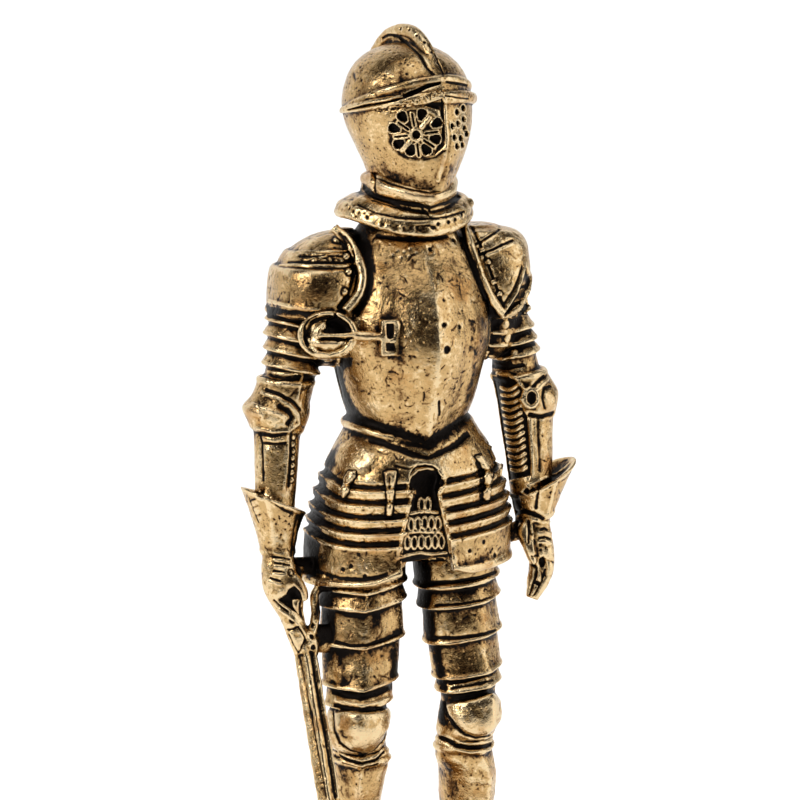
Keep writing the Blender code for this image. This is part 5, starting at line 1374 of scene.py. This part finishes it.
def carve_body(clay):
    """The armour's finer relief and patina marks, with painted shade, a painted reflection and painted
    highlights.
    """
    clay.waves(4.0, 0.07, 11)
    clay.waves(1.3, 0.04, 12)
    for table in (TORSO_LINES, RIGHT_PAULDRON_LINES, LEFT_PAULDRON_LINES, RIGHT_ARM_LINES,
                  RIGHT_CUFF_LINES, HAND_SLITS, BLADE_LINES, LEFT_ARM_LINES, LEFT_CUFF_LINES, LEFT_HAND_LINES,
                  HIP_LINES, TASSET_LINES, RIGHT_LEG_LINES, LEFT_LEG_LINES):
        clay.lines(table)
    clay.patch(NECK_BAND, 0.1, -0.7, 2.0)
    clay.lines(GORGET_LINES)
    clay.patch(GORGET_RIM, 0.0, 0.2, 2.0, rough=0.25, size=0.5)
    clay.patch(RIGHT_PAULDRON_DARK_BAND, 0.0, 0.55, 2.0, rough=0.3, size=0.45)
    clay.dots(GORGET_DOTS, 0.36, -0.3, 1.0)
    clay.dots(GORGET_DENTS, 0.5, -0.22, 0.5, 1.5)
    clay.dots(TORSO_SPECKS, 0.34, 0.22, -0.3, 1.2)
    for radius, places in TORSO_HOLES.items():
        clay.dots(places, radius, -0.4, 0.9)
    clay.patch(LANCE_REST_PLATE, 0.65, -0.95, 1.6, rough=0.1, size=0.6)
    clay.patch(LANCE_REST_BOSS, 0.3, -0.9, 2.0)
    clay.patch(LANCE_REST_HOLLOW, -0.75, 1.0, 1.4)
    clay.lines(LANCE_REST_LINES)
    clay.patch(BRACKET_HOLLOW, -0.6, 1.0, 1.2)
    clay.patch(BRACKET_FOOT, -0.25, 0.5, 1.2)
    clay.rivets(RIGHT_RIVETS, 0.58, 0.42)
    clay.rivets(LEFT_RIVETS, 0.46, 0.3)
    # A hollow under the left pauldron, with painted shade
    clay.patch(ARM_UNDER_SHIELD, -0.55, 0.3, 2.0)
    # Painted shade in the armpits
    clay.patch(LEFT_ARMPIT, -0.1, 0.9, 3.0)
    clay.patch(RIGHT_ARMPIT, -0.1, 0.8, 4.0)
    # Painted shade on the torso's sides
    clay.patch(RIGHT_FLANK, 0.0, 0.9, 5.0)
    clay.patch(LEFT_FLANK, 0.0, 0.3, 5.0)
    # Painted reflection on the right pauldron's front
    clay.patch(PAULDRON_PAINTED_REFLECTION, 0.0, 0.3, 6.0)
    # Painted shade under the right pauldron
    clay.patch(SHADE_UNDER_RIGHT_SHIELD, -0.1, 0.9, 2.5)
    for outline in ARM_SHADOWS:
        clay.patch(outline, -0.08, 0.8, 2.5)
    # Painted highlights on small raised lumps
    clay.dots(ARM_HIGHLIGHT_LUMPS, 0.8, 0.2, -1.2, 1.0)
    for pixels in ARMPIT_LAMES:
        clay.line(pixels, 0.4, 0.25, -0.9)
    clay.dots(RIGHT_CUFF_DOTS, 0.24, -0.1, 0.5)
    clay.patch(oval(CUFF_HOLE, 3.4, 3.0), -0.4, 1.0, 1.4)
    clay.patch(HOOK, 0.0, 1.4, 2.5)
    clay.rivets([HAND_RIVET], 0.4, 0.15)
    clay.patch(GRIP_SHADOW, -0.7, 1.0, 1.6)
    clay.patch(GRIP, 0.5, -0.6, 1.4)
    clay.lines(FINGER_LINES)
    clay.dots(GUARD_HOLES, 0.5, -0.35, 1.0)
    clay.patch(oval(LEFT_BOSS, 9.0, 11.0), 0.4, -0.9, 2.0)
    clay.patch(oval((LEFT_BOSS[0] + 1.5, LEFT_BOSS[1]), 4.8, 6.6), -0.4, 0.5, 1.6)
    clay.patch(LEFT_CUFF_VOID, -0.2, 1.0, 2.0)
    clay.dots(LEFT_CUFF_HOLES, 0.42, -0.3, 0.9)
    clay.dots(LEFT_HAND_DOTS, 0.3, -0.2, 0.9)
    clay.patch(PALM, -0.3, 0.4, 1.8)
    clay.patch(oval(PALM_PIT, 3.2, 5.2), -0.5, 1.0, 1.6)
    clay.dots([PALM_HOLE], 0.5, -0.4, 1.0)
    for outline in STRAPS.values():
        clay.patch(outline, -0.1, 1.0, 1.4, 1.8)
        clay.patch(outline, 0.65, -1.8, 1.4)
    clay.lines(BUCKLE_LINES)
    clay.dots(TASSET_DENTS, 0.42, -0.2, 0.7)
    clay.dots([TASSET_KNOB], 0.9, 0.25, 0.5, 1.0)
    for outline in (RIGHT_KNEE, LEFT_KNEE):
        clay.patch(outline, 0.45, -0.1, 5.0, rough=0.12, size=0.8)
    # Painted shade on the legs' sides, and darker patches elsewhere on the legs
    for ink, edge, outline in LEG_SHADE_AND_DARK_PATCHES.values():
        clay.patch(outline, 0.0, ink, edge)
    # Hip bulge, with a painted highlight
    clay.patch(HIP_BULGE, 0.3, -0.2, 9.0)
    # Painted shade on the skirt's side
    clay.patch(HIP_SIDE_SHADE, 0.0, 1.2, 9.0)
    # Painted shade on the wrist's web
    clay.patch(WRIST_WEB_SHADE, 0.0, 1.0, 3.0)
    carve_mail(clay)
    carve_sleeve_mail(clay)
    carve_back(clay)
    clay.pits(3600, (0.2, 0.42), (0.03, 0.1), 0.5, 13)
    clay.scratches(2600, (0.35, 1.0), 0.24, 0.07, 0.4, 14)


def carve_back(clay):
    """Guessed details where the photograph doesn't show: seams, straps, hinges and buckles."""
    clay.along(curve(SPINE_SEAM, BACK_STEPS), 0.4, -0.22, 0.9)
    for side in (-1, 1):
        turned = np.array((side, 1.0, 1.0))
        for points in BACK_SEAMS:
            clay.along(curve(points * turned, BACK_STEPS), 0.4, -0.22, 0.9)
        for points in BACK_STRAPS:
            path = curve(points * turned, BACK_STEPS)
            clay.along(path, 1.0, -0.08, 0.8, 1.0)
            clay.along(path, 0.75, 0.4, -1.2, 0.7)
        for point in BACK_RIVETS:
            clay.along([point * turned], 0.75, -0.12, 0.8, 1.0)
            clay.along([point * turned], 0.5, 0.4, -0.8, 0.7)


class Shading:
    """A material's nodes, wired by short calls."""

    def __init__(self, name):
        self.material = bpy.data.materials.new(name)
        self.material.use_nodes = True
        self.tree = self.material.node_tree
        self.shader = self.tree.nodes["Principled BSDF"]
        self.where = self.node("ShaderNodeTexCoord").outputs["Object"]

    def node(self, kind, **values):
        """A node with its properties set."""
        made = self.tree.nodes.new(kind)
        for key, value in values.items():
            setattr(made, key, value)
        return made

    def put(self, socket, value):
        """Link a socket to another one's output, or set its value."""
        if isinstance(value, bpy.types.NodeSocket):
            self.tree.links.new(value, socket)
        else:
            socket.default_value = value

    def noise(self, scale, detail=3.0, rough=0.55, offset=0.0):
        """Noise over the object, its scale in features to the metre."""
        place = self.node("ShaderNodeMapping")
        self.put(place.inputs["Vector"], self.where)
        place.inputs["Location"].default_value = (offset, offset * 0.7, offset * 1.3)
        made = self.node("ShaderNodeTexNoise")
        self.put(made.inputs["Vector"], place.outputs[0])
        for key, value in (("Scale", scale), ("Detail", detail), ("Roughness", rough)):
            made.inputs[key].default_value = value
        return made.outputs["Fac"]

    def cells(self, scale, offset=0.0):
        """Distance to the nearest of scattered points."""
        place = self.node("ShaderNodeMapping")
        self.put(place.inputs["Vector"], self.where)
        place.inputs["Location"].default_value = (offset, offset, offset)
        made = self.node("ShaderNodeTexVoronoi")
        self.put(made.inputs["Vector"], place.outputs[0])
        made.inputs["Scale"].default_value = scale
        return made.outputs["Distance"]

    def value(self, name):
        """One of the mesh's stored values."""
        return self.node("ShaderNodeAttribute", attribute_name=name).outputs["Fac"]

    def math(self, kind, a, b=0.0, c=0.0):
        """One sum."""
        made = self.node("ShaderNodeMath", operation=kind)
        for socket, item in zip(made.inputs, (a, b, c)):
            self.put(socket, item)
        return made.outputs[0]

    def ramp(self, value, low, high, to_low=0.0, to_high=1.0):
        """A smooth step of a value."""
        made = self.node("ShaderNodeMapRange", interpolation_type="SMOOTHSTEP")
        for key, item in (("Value", value), ("From Min", low), ("From Max", high), ("To Min", to_low),
                          ("To Max", to_high)):
            self.put(made.inputs[key], item)
        return made.outputs["Result"]

    def mix(self, share, a, b):
        """Two colours mixed."""
        made = self.node("ShaderNodeMix", data_type="RGBA")
        self.put(made.inputs["Factor"], share)
        self.put(made.inputs[6], a)
        self.put(made.inputs[7], b)
        return made.outputs[2]


GOLD = (0.57, 0.37, 0.158, 1.0)
PALE_GOLD = (0.80, 0.605, 0.345, 1.0)
BROWN = (0.17, 0.085, 0.03, 1.0)
AMBER = (0.42, 0.19, 0.045, 1.0)
BLACK = (0.010, 0.008, 0.007, 1.0)


def old_gold(name, stored):
    """Polished brass with a dark patina in the hollows and in streaks and specks, and painted shade and
    highlights from the stored ink and shut-in share.
    """
    s = Shading(name)
    titles = ("fine", "broad", "ink", "deep")
    fine, broad, ink, deep = (s.value(title) if stored else 0.0 for title in titles)
    cloud = s.noise(330.0, 4.0, 0.62)
    grain = s.noise(1500.0, 4.0, 0.65, 0.3)
    speck = s.ramp(s.noise(2300.0, 2.0, 0.5, 2.3), 0.60, 0.70)
    patina_and_shade = s.math("MULTIPLY_ADD", broad, 2.0, s.math("MULTIPLY", fine, 6.5))
    # The stored ink: patina marks, and painted shade, reflection and highlights where the carving laid them
    patina_and_shade = s.math("ADD", patina_and_shade, s.math("MULTIPLY", ink, s.math("MULTIPLY_ADD", cloud, 1.2, 0.45)))
    # Painted shade: points shut in between and under parts turn darker
    patina_and_shade = s.math("MULTIPLY_ADD", s.ramp(deep, 0.30, 0.95), 0.62, patina_and_shade)
    patina_and_shade = s.math("MULTIPLY_ADD", s.math("SUBTRACT", cloud, 0.5), 1.5, patina_and_shade)
    patina_and_shade = s.math("MULTIPLY_ADD", s.math("SUBTRACT", grain, 0.5), 1.1, patina_and_shade)
    patina_and_shade = s.math("MULTIPLY_ADD", speck, 0.35, patina_and_shade)
    dark = s.ramp(patina_and_shade, 0.26, 0.60)
    brown = s.ramp(patina_and_shade, -0.05, 0.40)
    bright = s.ramp(patina_and_shade, -0.50, -0.12, 1.0, 0.0)
    amber = s.ramp(s.noise(190.0, 3.0, 0.6, 0.9), 0.54, 0.70, 0.0, 0.6)
    colour = s.mix(bright, GOLD, PALE_GOLD)
    colour = s.mix(amber, colour, AMBER)
    colour = s.mix(brown, colour, BROWN)
    colour = s.mix(dark, colour, BLACK)
    s.put(s.shader.inputs["Base Color"], colour)
    s.shader.inputs["Metallic"].default_value = 1.0
    rough = s.math("MULTIPLY_ADD", grain, 0.20, 0.10)
    s.put(s.shader.inputs["Roughness"], s.math("MULTIPLY_ADD", dark, 0.22, rough))
    pits = s.ramp(s.cells(1300.0), 0.0, 0.30)
    rise = s.math("MULTIPLY_ADD", s.noise(1000.0, 5.0, 0.65, 1.7), 0.7, s.math("MULTIPLY", pits, 0.3))
    bump = s.node("ShaderNodeBump")
    bump.inputs["Strength"].default_value = 0.6
    bump.inputs["Distance"].default_value = 0.0003
    s.put(bump.inputs["Height"], rise)
    s.put(s.shader.inputs["Normal"], bump.outputs["Normal"])
    return s.material


def shelter(thing):
    """Store how shut in each point is, from 0 in the open to 1: the share of short rays that meet metal. The
    material paints shade with it.
    """
    mesh = thing.data
    points, faces = triangles_of(mesh)
    tree = BVHTree.FromPolygons([Vector(p) for p in points], [tuple(int(i) for i in f) for f in faces])
    normals = np.empty(len(points) * 3, np.float32)
    mesh.vertex_normals.foreach_get("vector", normals)
    normals = normals.reshape(-1, 3)
    k = np.arange(RAYS) + 0.5
    lift, turn = np.sqrt(1 - k / RAYS * 0.96), k * math.pi * (1 + math.sqrt(5))
    flat = np.sqrt(1 - lift * lift)
    lobe = np.stack([flat * np.cos(turn), flat * np.sin(turn), lift], axis=-1)
    shut = np.zeros(len(points))
    for i, (point, normal) in enumerate(zip(points, normals)):
        normal = Vector(normal)
        turned = np.array(normal.to_track_quat("Z", "Y").to_matrix())
        start = Vector(point) + normal * RAY_START
        for ray in lobe @ turned.T:
            if tree.ray_cast(start, Vector(ray), RAY_REACH)[0] is not None:
                shut[i] += 1
    layer = mesh.attributes.new("deep", "FLOAT", "POINT")
    layer.data.foreach_set("value", (shut / RAYS).astype(np.float32))


def drop_strays(mesh):
    """Remove single triangles that hang on to nothing."""
    shape = bmesh.new()
    shape.from_mesh(mesh)
    strays = {vert for vert in shape.verts if len(vert.link_edges) < 3}
    alone = [vert for vert in shape.verts
             if vert in strays and all(edge.other_vert(vert) in strays for edge in vert.link_edges)]
    bmesh.ops.delete(shape, geom=alone, context="VERTS")
    shape.to_mesh(mesh)
    shape.free()


def join_skins(meshes):
    """The skins as one mesh, in the row frame."""
    things = []
    for mesh in meshes:
        thing = bpy.data.objects.new("skin", mesh)
        bpy.context.scene.collection.objects.link(thing)
        things.append(thing)
    with bpy.context.temp_override(active_object=things[0], selected_editable_objects=things):
        bpy.ops.object.join()
    whole = things[0]
    drop_strays(whole.data)
    whole.data.transform(Matrix.Diagonal((MM, MM, MM, 1.0)) @ Matrix.Translation(Vector(PLACE)))
    return whole


def plinth_shape():
    """The plinth: a low block with a narrower, chamfered step on top, its edges eased."""
    profile = [(0.0, 0.0), (0.0, PLINTH_STEP - 0.8), (0.25, PLINTH_STEP - 0.3), (0.8, PLINTH_STEP),
               (PLINTH_LEDGE - 0.3, PLINTH_STEP), (PLINTH_LEDGE, PLINTH_STEP + 0.3),
               (PLINTH_LEDGE, PLINTH_HEIGHT - 0.7), (PLINTH_LEDGE + 0.25, PLINTH_HEIGHT - 0.2),
               (PLINTH_LEDGE + 0.7, PLINTH_HEIGHT)]
    around = 60
    rings = []
    for inset, height in profile:
        w, d = PLINTH_WIDTH / 2 - inset, PLINTH_DEPTH / 2 - inset
        corners = np.array([(-w, -d), (w, -d), (w, d), (-w, d), (-w, -d)])
        t = np.linspace(0, 4, around * 4, endpoint=False)
        x, y = (np.interp(t, np.arange(5), corners[:, k]) for k in (0, 1))
        rings.append(np.stack([x, y, np.full(len(x), height)], axis=-1))
    return skin(rings)


def camera():
    """The photograph's camera."""
    back, right, up, eye = view_axes()
    eye = (eye + PLACE) * MM
    made = bpy.data.cameras.new("camera")
    made.sensor_width = SENSOR
    made.lens = FOCAL_PIXELS / FRAME_SIZE * SENSOR
    made.clip_start = 0.01
    thing = bpy.data.objects.new("camera", made)
    thing.matrix_world = Matrix([[right[k], up[k], back[k], eye[k]] for k in range(3)] + [[0, 0, 0, 1]])
    bpy.context.scene.collection.objects.link(thing)
    bpy.context.scene.camera = thing


# Each light's bearing and lift in degrees, its distance and size in metres, and its brightness
LIGHTS = {
    "side": (58.0, 10.0, 0.62, (0.62, 0.72), 1.32),
    "left_front": (-69.0, 26.0, 0.65, (0.40, 0.26), 4.8),
    "above_front": (-25.0, 56.0, 0.75, (0.62, 0.34), 1.0),
    "top": (20.0, 82.0, 0.9, (0.6, 0.5), 1.3),
}
FLOOR_GLOW = 0.58
FLOOR_GLOW_SEEN = 0.75
WORLD_DARK = (0.035, 0.030, 0.027, 1.0)
WORLD_SEEN = (0.92, 0.92, 0.92, 1.0)


def softbox(name, bearing, lift, reach, size, glow):
    """A soft panel of even brightness, aimed at the figure; the bearing goes from his front to his left."""
    turn, tilt = math.radians(bearing), math.radians(lift)
    level_way = (math.sin(turn) * math.cos(tilt), -math.cos(turn) * math.cos(tilt))
    place = Vector((*level_way, math.sin(tilt))) * reach
    light = bpy.data.lights.new(name, "AREA")
    light.shape = "RECTANGLE"
    light.size, light.size_y = size
    light.energy = glow * math.pi * size[0] * size[1]
    thing = bpy.data.objects.new(name, light)
    thing.location = place + Vector(LIGHT_CENTRE)
    thing.rotation_euler = (-place).to_track_quat("-Z", "Y").to_euler()
    bpy.context.scene.collection.objects.link(thing)


def studio():
    """A pale floor that sweeps up behind the figure, and soft lights."""
    width, front, back, bend, rise = 3.0, -1.6, 1.0, 0.5, 1.6
    profile = [(front, 0.0)] + [(back - bend + bend * math.sin(t), bend - bend * math.cos(t))
                                for t in np.linspace(0, math.pi / 2, 20)] + [(back, rise)]
    points = np.array([(x, y, z) for y, z in profile for x in (-width, width)])
    quads = np.array([(2 * k, 2 * k + 1, 2 * k + 3, 2 * k + 2) for k in range(len(profile) - 1)])
    floor = to_object("floor", points, quads, np.empty((0, 3), int))
    for face in floor.data.polygons:
        face.use_smooth = True
    pale = Shading("pale_paper")
    paper = pale.mix(pale.noise(6.0), (0.88, 0.88, 0.87, 1), (0.92, 0.92, 0.91, 1))
    pale.put(pale.shader.inputs["Base Color"], paper)
    pale.shader.inputs["Roughness"].default_value = 0.9
    pale.shader.inputs["Emission Color"].default_value = (1.0, 1.0, 1.0, 1.0)
    ahead = pale.node("ShaderNodeSeparateXYZ")
    pale.put(ahead.inputs[0], pale.where)
    seen = pale.node("ShaderNodeLightPath").outputs["Is Camera Ray"]
    glow = pale.ramp(ahead.outputs["Y"], -0.30, -0.08, 0.0, FLOOR_GLOW)
    glow = pale.math("MAXIMUM", glow, pale.math("MULTIPLY", seen, FLOOR_GLOW_SEEN))
    pale.put(pale.shader.inputs["Emission Strength"], glow)
    floor.data.materials.append(pale.material)
    for name, values in LIGHTS.items():
        softbox(name, *values)
    world = bpy.data.worlds.new("studio")
    world.use_nodes = True
    tree = world.node_tree
    path = tree.nodes.new("ShaderNodeLightPath")
    tint = tree.nodes.new("ShaderNodeMix")
    tint.data_type = "RGBA"
    tint.inputs[6].default_value = WORLD_DARK
    tint.inputs[7].default_value = WORLD_SEEN
    tree.links.new(path.outputs["Is Camera Ray"], tint.inputs["Factor"])
    tree.links.new(tint.outputs[2], tree.nodes["Background"].inputs["Color"])
    bpy.context.scene.world = world
    bpy.context.scene.view_settings.view_transform = "Standard"


def main():
    """Make the casting, the plinth and the studio."""
    camera()
    studio()
    head = Clay(fuse(helmet(), HEAD_VOXEL))
    carve_head(head)
    body = Clay(fuse(body_shells(), BODY_VOXEL))
    carve_body(body)
    knight = join_skins([head.cast("head", HEAD_FACES), body.cast("body", BODY_FACES)])
    knight.name = "knight_casting"
    knight.data.materials.clear()
    for face in knight.data.polygons:
        face.material_index = 0
    knight.data.shade_smooth()
    shelter(knight)
    knight.data.materials.append(old_gold("knight_gold", True))
    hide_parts("knight")
    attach(knight, "root")
    plinth = to_object("plinth_block", *outward(plinth_shape()), scale=MM)
    plinth.data.materials.append(old_gold("plinth_gold", False))
    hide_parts("plinth")
    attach(plinth, "root")


main()
